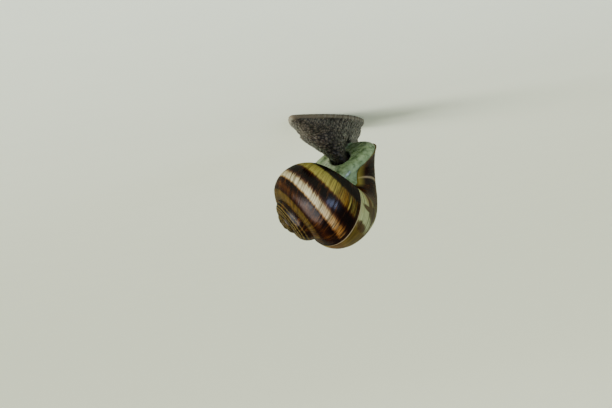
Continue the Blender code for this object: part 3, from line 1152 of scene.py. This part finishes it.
@dataclass(frozen=True)
class Cells:
    """Packed cells with grooves between them.

    Attributes:
        size: A cell's length, width and height in millimetres.
        seed: Which packing.
    """

    size: Place
    seed: float

    def height(self, places: Array) -> Array:
        """0 in the grooves and 1 on the cells' tops, at places in millimetres.

        Args:
            places: The places, one row each.

        Returns:
            The height at each place.
        """
        gap = np.empty(len(places))
        for k, point in enumerate(places / np.array(self.size) + self.seed):
            near = noise.voronoi(point)[0]
            gap[k] = near[1] - near[0]
        return smoothstep(0.015, 0.30, gap)


@dataclass
class Body:
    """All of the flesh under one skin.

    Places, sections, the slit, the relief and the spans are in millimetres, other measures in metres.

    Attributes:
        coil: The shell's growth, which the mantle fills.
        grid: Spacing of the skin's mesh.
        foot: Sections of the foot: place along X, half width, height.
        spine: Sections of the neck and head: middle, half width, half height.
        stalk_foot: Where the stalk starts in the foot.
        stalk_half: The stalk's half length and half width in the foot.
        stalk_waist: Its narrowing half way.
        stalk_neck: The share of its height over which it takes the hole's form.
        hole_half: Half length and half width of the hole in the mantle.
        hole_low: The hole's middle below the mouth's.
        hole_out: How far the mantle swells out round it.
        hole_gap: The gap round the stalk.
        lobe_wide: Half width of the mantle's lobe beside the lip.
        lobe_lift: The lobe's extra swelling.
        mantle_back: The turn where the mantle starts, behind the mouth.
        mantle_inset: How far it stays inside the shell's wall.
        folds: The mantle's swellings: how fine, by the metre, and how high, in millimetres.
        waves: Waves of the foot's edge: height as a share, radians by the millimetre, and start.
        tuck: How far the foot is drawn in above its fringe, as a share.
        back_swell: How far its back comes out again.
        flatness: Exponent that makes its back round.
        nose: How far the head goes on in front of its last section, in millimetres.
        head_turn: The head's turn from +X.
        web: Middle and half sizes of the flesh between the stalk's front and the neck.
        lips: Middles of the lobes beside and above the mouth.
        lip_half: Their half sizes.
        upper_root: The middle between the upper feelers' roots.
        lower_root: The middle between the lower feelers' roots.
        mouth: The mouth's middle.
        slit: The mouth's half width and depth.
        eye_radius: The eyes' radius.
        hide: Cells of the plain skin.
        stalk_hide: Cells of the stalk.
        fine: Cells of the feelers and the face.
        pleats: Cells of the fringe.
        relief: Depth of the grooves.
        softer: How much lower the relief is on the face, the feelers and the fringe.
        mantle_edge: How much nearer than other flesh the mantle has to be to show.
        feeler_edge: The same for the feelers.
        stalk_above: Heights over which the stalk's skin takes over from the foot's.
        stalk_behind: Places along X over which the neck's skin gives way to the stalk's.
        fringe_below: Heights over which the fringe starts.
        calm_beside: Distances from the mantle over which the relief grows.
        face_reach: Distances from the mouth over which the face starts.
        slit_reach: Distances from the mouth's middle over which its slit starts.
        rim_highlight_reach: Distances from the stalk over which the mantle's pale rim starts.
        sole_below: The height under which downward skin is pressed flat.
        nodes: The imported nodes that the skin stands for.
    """

    coil: Coil
    grid: float = 0.278 * MM
    foot: tuple[tuple[float, ...], ...] = (
        (-37.0, 0.6, 0.6), (-34.0, 2.0, 1.5), (-27.0, 4.6, 3.4), (-17.0, 7.4, 5.6), (-5.0, 9.4, 7.6),
        (7.0, 9.2, 8.0), (16.0, 7.8, 7.4), (21.0, 5.6, 5.6), (23.5, 2.4, 3.0))
    spine: tuple[tuple[float, ...], ...] = (
        (6.0, 0.0, 4.6, 5.6, 4.0), (13.0, -0.3, 6.2, 5.6, 4.6), (19.0, -1.4, 7.2, 5.0, 4.4),
        (25.0, -3.4, 7.4, 4.7, 4.2), (29.0, -5.0, 6.6, 3.9, 3.6), (31.2, -5.9, 5.8, 2.2, 2.2))
    stalk_foot: Place = (-4.5, -0.8, 4.0)
    stalk_half: Pair = (13.5 * MM, 7.4 * MM)
    stalk_waist: float = 0.06
    stalk_neck: float = 0.80
    hole_half: Pair = (6.5 * MM, 3.4 * MM)
    hole_low: float = 3.6 * MM
    hole_out: float = 3.0 * MM
    hole_gap: float = 0.85 * MM
    lobe_wide: float = math.radians(42)
    lobe_lift: float = 0.5
    mantle_back: float = -1.75
    mantle_inset: float = 0.42 * MM
    folds: tuple[Pair, ...] = ((260.0, 0.16), (900.0, 0.04))
    waves: tuple[Place, ...] = ((0.018, 1.9, 0.0), (0.012, 3.1, 1.0))
    tuck: float = 0.16
    back_swell: float = 0.06
    flatness: float = 0.85
    nose: float = 1.3
    head_turn: float = math.radians(-20.0)
    web: tuple[Place, Place] = ((6.2, 0.4, 7.9), (4.4, 3.2, 2.7))
    lips: tuple[Place, ...] = ((30.5, -4.4, 4.2), (30.5, -6.8, 4.3), (30.5, -5.6, 5.4))
    lip_half: Place = (1.25, 1.1, 1.4)
    upper_root: Place = (27.2, -4.2, 9.6)
    lower_root: Place = (29.6, -5.2, 5.0)
    mouth: Place = (31.3, -5.9, 4.2)
    slit: Pair = (0.22, 0.45)
    eye_radius: float = 0.55 * MM
    hide: Cells = Cells((1.45, 0.90, 0.90), 3.7)
    stalk_hide: Cells = Cells((1.7, 1.5, 0.80), 9.1)
    fine: Cells = Cells((0.5, 0.5, 0.5), 5.5)
    pleats: Cells = Cells((0.55, 0.55, 3.0), 6.3)
    relief: float = 0.30
    softer: Place = (0.55, 0.82, 0.62)
    mantle_edge: Span = (-0.35, 0.35)
    feeler_edge: Span = (-0.4, 0.4)
    stalk_above: Span = (6.8, 9.5)
    stalk_behind: Span = (17.0, 12.0)
    fringe_below: Span = (1.5, 0.8)
    calm_beside: Span = (0.4, 3.2)
    face_reach: Span = (3.4, 1.6)
    slit_reach: Span = (2.2, 1.2)
    # rim_highlight_reach: Distances from the stalk over which the mantle's painted highlight, a paler rim
    # round the hole, starts.
    rim_highlight_reach: Span = (2.1, 0.9)
    sole_below: float = 0.25
    nodes: tuple[str, ...] = ("tail", "foot", "foot_front", "trunk", "neck", "head", "mouth",
                              "mantle_collar", "upper_tentacle_left", "upper_tentacle_right",
                              "lower_tentacle_left", "lower_tentacle_right")

    def build(self) -> Piece:
        """Model the parts, join them under one skin, dress it and fix it.

        Returns:
            The finished skin.
        """
        parts = {"mantle": [self._mantle()], "stalk": [self._stalk()], "feelers": [], "rest": []}
        for side in Side:
            parts["feelers"] += [self.upper(side).build(), self._lower(side).build()]
        lips = [self._lobe(place, self.lip_half) for place in self.lips]
        parts["rest"] = [self._foot(), self._head(), self._lobe(*self.web), *lips]
        trees = {name: self._tree(forms) for name, forms in parts.items()}
        skin = self._join([form for forms in parts.values() for form in forms])
        apply_modifier(skin, "REMESH", mode="VOXEL", voxel_size=self.grid, use_smooth_shade=True)
        apply_modifier(skin, "SMOOTH", factor=0.5, iterations=3)
        self._texture(skin, trees)
        skin.data.materials.clear()
        skin.data.materials.append(SkinFinish().make())
        finish_piece(skin, self.nodes)
        return skin

    def _join(self, parts: Sequence[Piece]) -> Piece:
        """Join parts into one object named skin.

        Args:
            parts: The parts.

        Returns:
            The object.
        """
        select_only(parts[0])
        for part in parts:
            part.select_set(True)
        bpy.ops.object.join()
        parts[0].name = parts[0].data.name = "skin"
        return parts[0]

    def _tree(self, parts: Sequence[Piece]) -> BVHTree:
        """A search tree over the faces of some parts.

        Args:
            parts: The parts.

        Returns:
            The tree, in metres.
        """
        corners, faces = [], []
        for part in parts:
            start = len(corners)
            corners.extend(tuple(v.co) for v in part.data.vertices)
            faces.extend([start + i for i in face.vertices] for face in part.data.polygons)
        return BVHTree.FromPolygons(corners, faces)

    def _foot(self) -> Piece:
        """The foot: a flat sole, a thin wavy fringe and a rounded back that falls to the tail.

        Returns:
            The foot's form.
        """
        stations = []
        for x, half, top in smooth_rows(self.foot, 64):
            wave = sum((high * math.sin(x * rate + start) for high, rate, start in self.waves), start=1.0)
            stations.append(Station(mm(x, 0, 0), mm(0, half * wave, 0), mm(0, 0, top)))

        def section(side: Array, rise: Array) -> tuple[Array, Array]:
            """Flat below, a fringe at the sole, then a tucked and rounded back.

            Args:
                side: The circle's level coordinate.
                rise: Its upright coordinate.

            Returns:
                The two coordinates of the foot's outline.
            """
            lift = np.clip(rise, 0.0, 1.0)
            tucked = 1.0 - self.tuck * smoothstep(0.10, 0.30, lift)
            return side * (tucked + self.back_swell * smoothstep(0.30, 0.60, lift)), lift**self.flatness

        return sweep("foot_form", stations, 48, section)

    def _mouth_frame(self) -> tuple[Vector, Vector, Vector, Vector]:
        """Where the stalk leaves the mantle, and the lip's, the base's and the outward direction.

        Returns:
            The place and the three directions.
        """
        matrix = self.coil.matrix()
        lip, base, out = matrix.col[0].to_3d(), -matrix.col[2].to_3d(), self.coil.ahead()
        return Vector((0, 0, self.coil.mouth_height)) + base * self.hole_low, lip, base, out

    def _stalk(self) -> Piece:
        """The stalk of flesh that rises from the foot into the shell's mouth.

        Returns:
            The stalk's form.
        """
        hole, lip, base, out = self._mouth_frame()
        foot_long, foot_wide = Vector((self.stalk_half[0], 0, 0)), Vector((0, self.stalk_half[1], 0))
        top_long, top_wide = (axis * (half - self.hole_gap)
                              for axis, half in zip((lip, base), self.hole_half))
        stations = []
        for share in np.linspace(0.0, 1.0, 30):
            soft = float(smoothstep(0.0, self.stalk_neck, share))
            waist = 1.0 - self.stalk_waist * math.sin(math.pi * share)
            centre = mm(*self.stalk_foot).lerp(hole - out * MM, share)
            stations.append(Station(centre, foot_long.lerp(top_long, soft) * waist,
                                    foot_wide.lerp(top_wide, soft) * waist))
        return sweep("stalk_form", stations, 40)

    def _head(self) -> Piece:
        """Neck and head, rounded off in front.

        Returns:
            The head's form.
        """
        stations = [Station(mm(x, y, z), mm(0, half, 0), mm(0, 0, high))
                    for x, y, z, half, high in smooth_rows(self.spine, 40)]
        last, nose = stations[-1], heading(self.head_turn) * self.nose * MM
        for share in (0.45, 0.8, 1.0):
            shrink = math.sqrt(1 - share * share) if share < 1 else 0.05
            stations.append(Station(last.centre + nose * share, last.across * shrink, last.up * shrink))
        return sweep("head_form", stations, 36)

    def _lobe(self, place: Place, half: Place) -> Piece:
        """An egg of flesh at a place, with its three half sizes.

        Args:
            place: Its middle, in millimetres.
            half: Its half sizes, in millimetres.

        Returns:
            The lobe's form.
        """
        bpy.ops.mesh.primitive_uv_sphere_add(segments=28, ring_count=18, radius=MM, location=mm(*place))
        lobe = bpy.context.active_object
        lobe.scale = half
        settle()
        return lobe

    def _feeler(self, kind: str, side: Side, middle: Place, out: float, spread: float, rise: float,
                **form: object) -> Tentacle:
        """Lay out a feeler of one side.

        Args:
            kind: Its name without the side.
            side: Its side.
            middle: The middle between the pair's roots.
            out: Millimetres from there to its root.
            spread: Degrees from the head's heading to the feeler's.
            rise: Degrees above the level.
            **form: Its length, radii and other measures.

        Returns:
            The feeler's layout.
        """
        root = mm(*middle) + heading(self.head_turn + math.pi / 2) * side.value * out * MM
        way = heading(self.head_turn + side.value * math.radians(spread), math.radians(rise))
        return Tentacle(f"{kind}_{side.name.lower()}", root, way, **form)

    def upper(self, side: Side) -> Tentacle:
        """The upper feeler of a side, which bears the eye."""
        return self._feeler("upper", side, self.upper_root, out=2.5, spread=24, rise=56,
                            length=9.5 * MM, radii=(1.3 * MM, 0.68 * MM), bow=0.25 * MM,
                            knob=1.12 * MM)

    def _lower(self, side: Side) -> Tentacle:
        """The lower feeler of a side."""
        return self._feeler("lower", side, self.lower_root, out=2.6, spread=20, rise=-22,
                            length=2.75 * MM, radii=(0.78 * MM, 0.56 * MM), knob=0.68 * MM,
                            stations=14)

    def _mantle(self) -> Piece:
        """The mantle: it fills the mouth, swells out of it and folds back in round the stalk.

        Returns:
            The mantle's form.
        """
        swell = ((0.0, 0.0), (0.22, 0.02), (0.45, 0.06), (0.66, 0.13), (0.82, 0.24), (0.91, 0.38),
                 (0.96, 0.54), (1.0, 0.70), (1.04, 0.82), (1.09, 0.91), (1.10, 0.97), (1.03, 1.0),
                 (0.85, 1.01), (0.55, 1.0), (0.2, 0.98), (0.1, 0.9))
        within = 40
        turns = np.concatenate((np.linspace(self.mantle_back, 0.0, within), np.zeros(len(swell))))
        push, inwards = np.concatenate((np.zeros((within, 2)), swell)).T
        piece = straight_tube("mantle_form", 72, len(turns), (0, len(turns) - 1))
        along, _, _, around, pole = unroll(piece)
        k = np.rint(along).astype(int)
        edge = self.coil.point(turns[k], around, np.full(len(k), -self.mantle_inset))
        hole, lip, base, out = (np.array(v) for v in self._mouth_frame())
        heart = np.where((k > len(turns) / 2)[:, None], hole, self.coil.heart(turns[k]))
        rim = hole + np.outer(np.cos(around) * self.hole_half[0], lip)
        rim = rim - np.outer(np.sin(around) * self.hole_half[1], base)
        lobe = np.exp(-(around / self.lobe_wide) ** 2) * np.clip(1.2 - np.abs(inwards[k] - 0.3) * 2, 0, 1)
        lift = push[k] * self.hole_out * (1 + self.lobe_lift * lobe)
        places = edge + (rim - edge) * inwards[k][:, None]
        places = np.where(pole[:, None], heart, places) + out * lift[:, None]
        move_points(piece.data, places)
        face_outwards(piece)
        return piece

    def _texture(self, skin: Piece, trees: dict[str, BVHTree]) -> None:
        """Raise the tubercles, cut the grooves and note where each kind of skin lies.

        Args:
            skin: The smooth skin.
            trees: Search trees over the forms under it.
        """
        metres = points_of(skin.data)
        reach = {name: np.array([tree.find_nearest(place)[3] for place in metres]) / MM
                 for name, tree in trees.items()}
        normals = np.empty(metres.size)
        skin.data.vertex_normals.foreach_get("vector", normals)
        normals = normals.reshape(-1, 3)
        places = metres / MM
        off_mouth = places - np.array(self.mouth)
        to_mouth = np.linalg.norm(off_mouth, axis=1)
        flesh = np.minimum(reach["rest"], reach["stalk"])
        mantle = smoothstep(*self.mantle_edge, np.minimum(flesh, reach["feelers"]) - reach["mantle"])
        feeler = smoothstep(*self.feeler_edge, flesh - reach["feelers"])
        stalk = smoothstep(*self.stalk_above, places[:, 2]) * smoothstep(*self.stalk_behind, places[:, 0])
        stalk = stalk * (1 - mantle)
        fringe = smoothstep(*self.fringe_below, places[:, 2])
        beside = smoothstep(*self.calm_beside, reach["mantle"])
        face = smoothstep(*self.face_reach, to_mouth) * (1 - feeler)
        slit_wide, slit_deep = self.slit
        off = off_mouth @ np.array(heading(self.head_turn + math.pi / 2))
        slit = face * np.exp(-(off / slit_wide) ** 2) * smoothstep(*self.slit_reach, to_mouth)
        fine = self.fine.height(places)
        height = self.hide.height(places)
        for over, share in ((self.stalk_hide.height(places), stalk), (0.35 + 0.65 * fine, feeler),
                            (0.5 + 0.5 * self.pleats.height(places), fringe), (0.45 + 0.55 * fine, face)):
            height = height + (over - height) * share
        height = height * (1 - slit)
        depth = self.relief * beside * (1 - mantle)
        for share, softer in zip((face, feeler, fringe), self.softer):
            depth = depth * (1 - softer * share)
        lift = (height - 0.75) * depth + self._folds(metres) * mantle - slit_deep * slit
        lifted = places + normals * lift[:, None]
        sole = (places[:, 2] < self.sole_below) & (normals[:, 2] < -0.5)
        lifted[:, 2] = np.where(sole, 0.0, np.maximum(lifted[:, 2], 0.0))
        move_points(skin.data, lifted * MM)
        # The rim value places a painted highlight: the mantle is made paler close round the stalk.
        write_values(skin.data, {
            "tubercle": height * (0.35 + 0.65 * beside), "mantle": mantle, "fringe": fringe,
            "stalk": stalk, "rim": mantle * smoothstep(*self.rim_highlight_reach, reach["stalk"])})

    def _folds(self, places: Array) -> Array:
        """Soft uneven swellings of the mantle, in millimetres.

        Args:
            places: The places in metres, one row each.

        Returns:
            The swelling at each place.
        """
        return sum(high * np.array([noise.noise(Vector(place) * rate) for place in places])
                   for rate, high in self.folds)


@dataclass(frozen=True)
class SkinFinish:
    """Moist skin: pale-topped tubercles between dark grooves, and a smooth wet mantle.

    Attributes:
        hide: Colours from the grooves to the tubercles' tops.
        hide_washes: Dark clouds, the stalk made darker and browner, partly its own colour and partly
            painted shade, and the pale fringe.
        mantle_dark: The mantle's dark veins.
        mantle_pale: The mantle between them.
        mantle_highlight_washes: A painted highlight: the mantle made paler on its rim round the stalk.
    """

    hide: tuple[Stop, ...] = ((0.0, 20, 17, 14), (0.45, 46, 41, 35), (1.0, 84, 77, 64))
    hide_washes: tuple[Wash, ...] = (
        Wash((("cloud", 0.42, 0.62),), 0.55, tint(60, 56, 54), "MULTIPLY"),
        # The stalk is darker and browner: partly the skin's own colour, partly painted shade.
        Wash((("stalk",),), 0.45, tint(150, 140, 140), "MULTIPLY"),
        Wash((("fringe",),), 0.6, tint(104, 92, 72)))
    mantle_dark: Colour = tint(80, 98, 64)
    mantle_pale: Colour = tint(134, 152, 110)
    # Painted highlight: a paler wash on the mantle's rim round the stalk.
    mantle_highlight_washes: tuple[Wash, ...] = (Wash((("rim",),), 0.55, tint(158, 168, 134)),)

    def make(self) -> bpy.types.Material:
        """Build the material.

        Returns:
            The material.
        """
        material, bench, shader = new_material("moist_skin")
        signals = {name: bench.value(name) for name in ("tubercle", "mantle", "stalk", "fringe", "rim")}
        signals["cloud"] = bench.grain(bench.where(), 190.0, detail=3.0)
        hide = bench.wash(bench.ramp(signals["tubercle"], self.hide), self.hide_washes, signals)
        veins = bench.grain(bench.where(), 420.0, detail=4.0, rough=0.65)
        wet = bench.blend(veins.between(0.36, 0.64), self.mantle_dark, self.mantle_pale)
        # Lay the painted highlight on the mantle's rim.
        wet = bench.wash(wet, self.mantle_highlight_washes, signals)
        height, mask = pores(bench, 2600.0, 1.0)
        bench.fill(shader, {
            "Base Color": bench.blend(signals["mantle"], hide, wet),
            "Roughness": signals["mantle"] * -0.18 + 0.42 + signals["stalk"] * -0.10 + mask * 0.08,
            "Normal": bench.bump(height, 0.35, 0.00005), "IOR": 1.4, "Specular IOR Level": 0.34,
            "Coat Weight": 0.22, "Coat Roughness": 0.12, "Subsurface Weight": 0.12,
            "Subsurface Radius": (0.0012, 0.0008, 0.0005)})
        return material


@dataclass
class Eye:
    """A dark eye set in the tip of an upper feeler, with a low clear-edged lens.

    Attributes:
        feeler: The feeler that bears it.
        side: Its side.
        radius: The ball's radius.
        lens: The lens's rise, as a share of the radius.
        girdle: The depth of the groove round it.
        lens_span: Where along the eye's axis the lens starts and is full.
        girdle_at: Where along it the groove is.
        girdle_wide: The groove's half width.
    """

    feeler: Tentacle
    side: Side
    radius: float
    lens: float = 0.08
    girdle: float = 0.04
    lens_span: Span = (0.55, 1.0)
    girdle_at: float = 0.45
    girdle_wide: float = 0.12

    def build(self) -> Piece:
        """Model the ball and its lens, dress it and fix it.

        Returns:
            The finished eye.
        """
        name = f"eye_{self.side.name.lower()}"
        low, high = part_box(name)
        centre = (low + high) / 2
        bpy.ops.mesh.primitive_uv_sphere_add(segments=32, ring_count=20, radius=self.radius)
        piece = bpy.context.active_object
        piece.name = f"{name}_ball"
        places = points_of(piece.data)
        share = places[:, 2] / self.radius
        places[:, 2] += self.lens * self.radius * smoothstep(*self.lens_span, share)
        past = (share[:, None] - self.girdle_at) / self.girdle_wide
        places[:, :2] *= 1 - self.girdle * np.exp(-past**2)
        move_points(piece.data, places)
        piece.rotation_euler = Vector((0, 0, 1)).rotation_difference(self.feeler.direction).to_euler()
        piece.location = centre
        settle()
        apply_modifier(piece, "SUBSURF", levels=1, render_levels=1)
        piece.data.materials.append(self._material())
        finish_piece(piece, (name,))
        return piece

    def _material(self) -> bpy.types.Material:
        """Wet black with a faint brown edge.

        Returns:
            The material.
        """
        material, bench, shader = new_material(f"eye_{self.side.name.lower()}_wet")
        cloud = bench.grain(bench.where(), 2400.0, detail=3.0)
        colour = bench.blend(cloud.between(0.40, 0.70), tint(9, 8, 9), tint(34, 25, 20))
        bench.fill(shader, {"Base Color": colour, "Roughness": cloud * 0.10 + 0.14,
                            "Specular IOR Level": 0.22, "Coat Weight": 0.22})
        return material


# ---- the studio ---------------------------------------------------------------------------
@dataclass
class Studio:
    """Pale floor, soft lights and the camera.

    The camera is held upside down, as the animal's sole is turned up in the view it is made for.

    Attributes:
        middle: What the middle of the view looks at, in millimetres.
        azimuth: From the animal's heading to the camera.
        elevation: The camera above the horizontal.
        roll: The camera's turn about its line of sight.
        distance: From the middle to the camera.
        view_width: Width of the view at the middle.
        floor_colour: The floor's colour.
        floor_reach: From the middle to the floor's edges.
        sweep_start: Where the floor starts to sweep up behind the animal.
        sweep_radius: The sweep's radius.
        lamp_low: The lowest place for a light, above the floor.
    """

    middle: Place = (-16.04, -7.12, 26.88)
    azimuth: float = math.radians(162.28)
    elevation: float = math.radians(5.0)
    roll: float = math.radians(170.0)
    distance: float = 0.9
    view_width: float = 199.3 * MM
    floor_colour: Colour = tint(240, 245, 218)
    floor_reach: float = 30.0
    sweep_start: float = 5.0
    sweep_radius: float = 12.0
    lamp_low: float = 0.012

    def axes(self) -> tuple[Vector, Vector, Vector]:
        """The camera's right, up and backward directions.

        Returns:
            The three directions.
        """
        back = heading(self.azimuth, self.elevation)
        right = Vector((0, 0, 1)).cross(back).normalized()
        up = back.cross(right)
        turned = right * math.cos(self.roll) + up * math.sin(self.roll)
        return turned, back.cross(turned), back

    def build(self) -> None:
        """Set up the floor, the lights and the camera."""
        self._floor()
        self._world()
        right, up, back = self.axes()
        self._light("sun", "SUN", back * 0.55 - right * 0.75 + Vector((0, 0, 0.62)), 4.4,
                    angle=math.radians(48.0))
        self._light("key", "AREA", back * 0.34 - right * 0.52, 4.6, size=0.50)
        self._light("sheen", "AREA", back * 0.56 + right * 0.24, 2.2, size=0.18,
                    color=tint(186, 204, 255)[:3])
        self._camera(right, up, back)

    def _floor(self) -> None:
        """A wide pale floor that sweeps up far behind the animal."""
        bpy.ops.mesh.primitive_grid_add(x_subdivisions=240, y_subdivisions=2, size=2 * self.floor_reach)
        floor = bpy.context.active_object
        floor.name = "floor"
        places = points_of(floor.data)
        past = np.clip(places[:, 0] - self.sweep_start, 0.0, None)
        turn = np.clip(past / self.sweep_radius, 0.0, math.pi / 2)
        straight = past - turn * self.sweep_radius
        places[:, 0] = places[:, 0] - past + self.sweep_radius * np.sin(turn)
        places[:, 2] = self.sweep_radius * (1 - np.cos(turn)) + straight
        move_points(floor.data, places)
        floor.data.shade_smooth()
        floor.rotation_euler.z = self.azimuth + math.pi
        settle()
        material, bench, shader = new_material("pale_floor")
        darker = tuple(0.97 * part for part in self.floor_colour[:3]) + (1.0,)
        colour = bench.blend(bench.grain(bench.where(), 40.0), self.floor_colour, darker)
        bench.fill(shader, {"Base Color": colour, "Roughness": 0.75})
        floor.data.materials.append(material)

    def _world(self) -> None:
        """An even pale sky."""
        world = bpy.data.worlds.new("studio")
        bpy.context.scene.world = world
        world.use_nodes = True
        sky = world.node_tree.nodes["Background"]
        sky.inputs["Color"].default_value = tint(232, 238, 226)
        sky.inputs["Strength"].default_value = 0.38

    def _light(self, name: str, kind: str, offset: Vector, power: float, **settings: object) -> None:
        """Add a light of a kind at an offset from the middle, aimed at it.

        Args:
            name: The light's name.
            kind: Its type.
            offset: From the middle to it.
            power: Its strength.
            **settings: Its other properties.
        """
        middle = mm(*self.middle)
        place = middle + offset
        place.z = max(place.z, self.lamp_low)
        bpy.ops.object.light_add(type=kind, location=place)
        light = bpy.context.active_object
        light.name = name
        light.data.energy = power
        for key, value in settings.items():
            setattr(light.data, key, value)
        light.rotation_euler = (place - middle).to_track_quat("Z", "Y").to_euler()

    def _camera(self, right: Vector, up: Vector, back: Vector) -> None:
        """Place the camera on the line of sight, level with the view's own up.

        Args:
            right: The camera's right direction.
            up: Its up direction.
            back: Its direction away from the animal.
        """
        bpy.ops.object.camera_add()
        camera = bpy.context.active_object
        turn = Matrix((right, up, back)).transposed().to_4x4()
        camera.matrix_world = Matrix.Translation(mm(*self.middle) + back * self.distance) @ turn
        camera.data.sensor_width = 36.0
        camera.data.lens = 36.0 * self.distance / self.view_width
        camera.data.clip_end = 1000.0
        bpy.context.scene.camera = camera


def main() -> None:
    """Build the pieces in order."""
    logging.basicConfig(level=logging.INFO, format="%(name)s %(message)s")
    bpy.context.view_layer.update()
    coil = Coil()
    Shell(coil).build()
    body = Body(coil)
    body.build()
    for side in Side:
        Eye(body.upper(side), side, body.eye_radius).build()
    Studio().build()


if __name__ == "__main__":
    main()
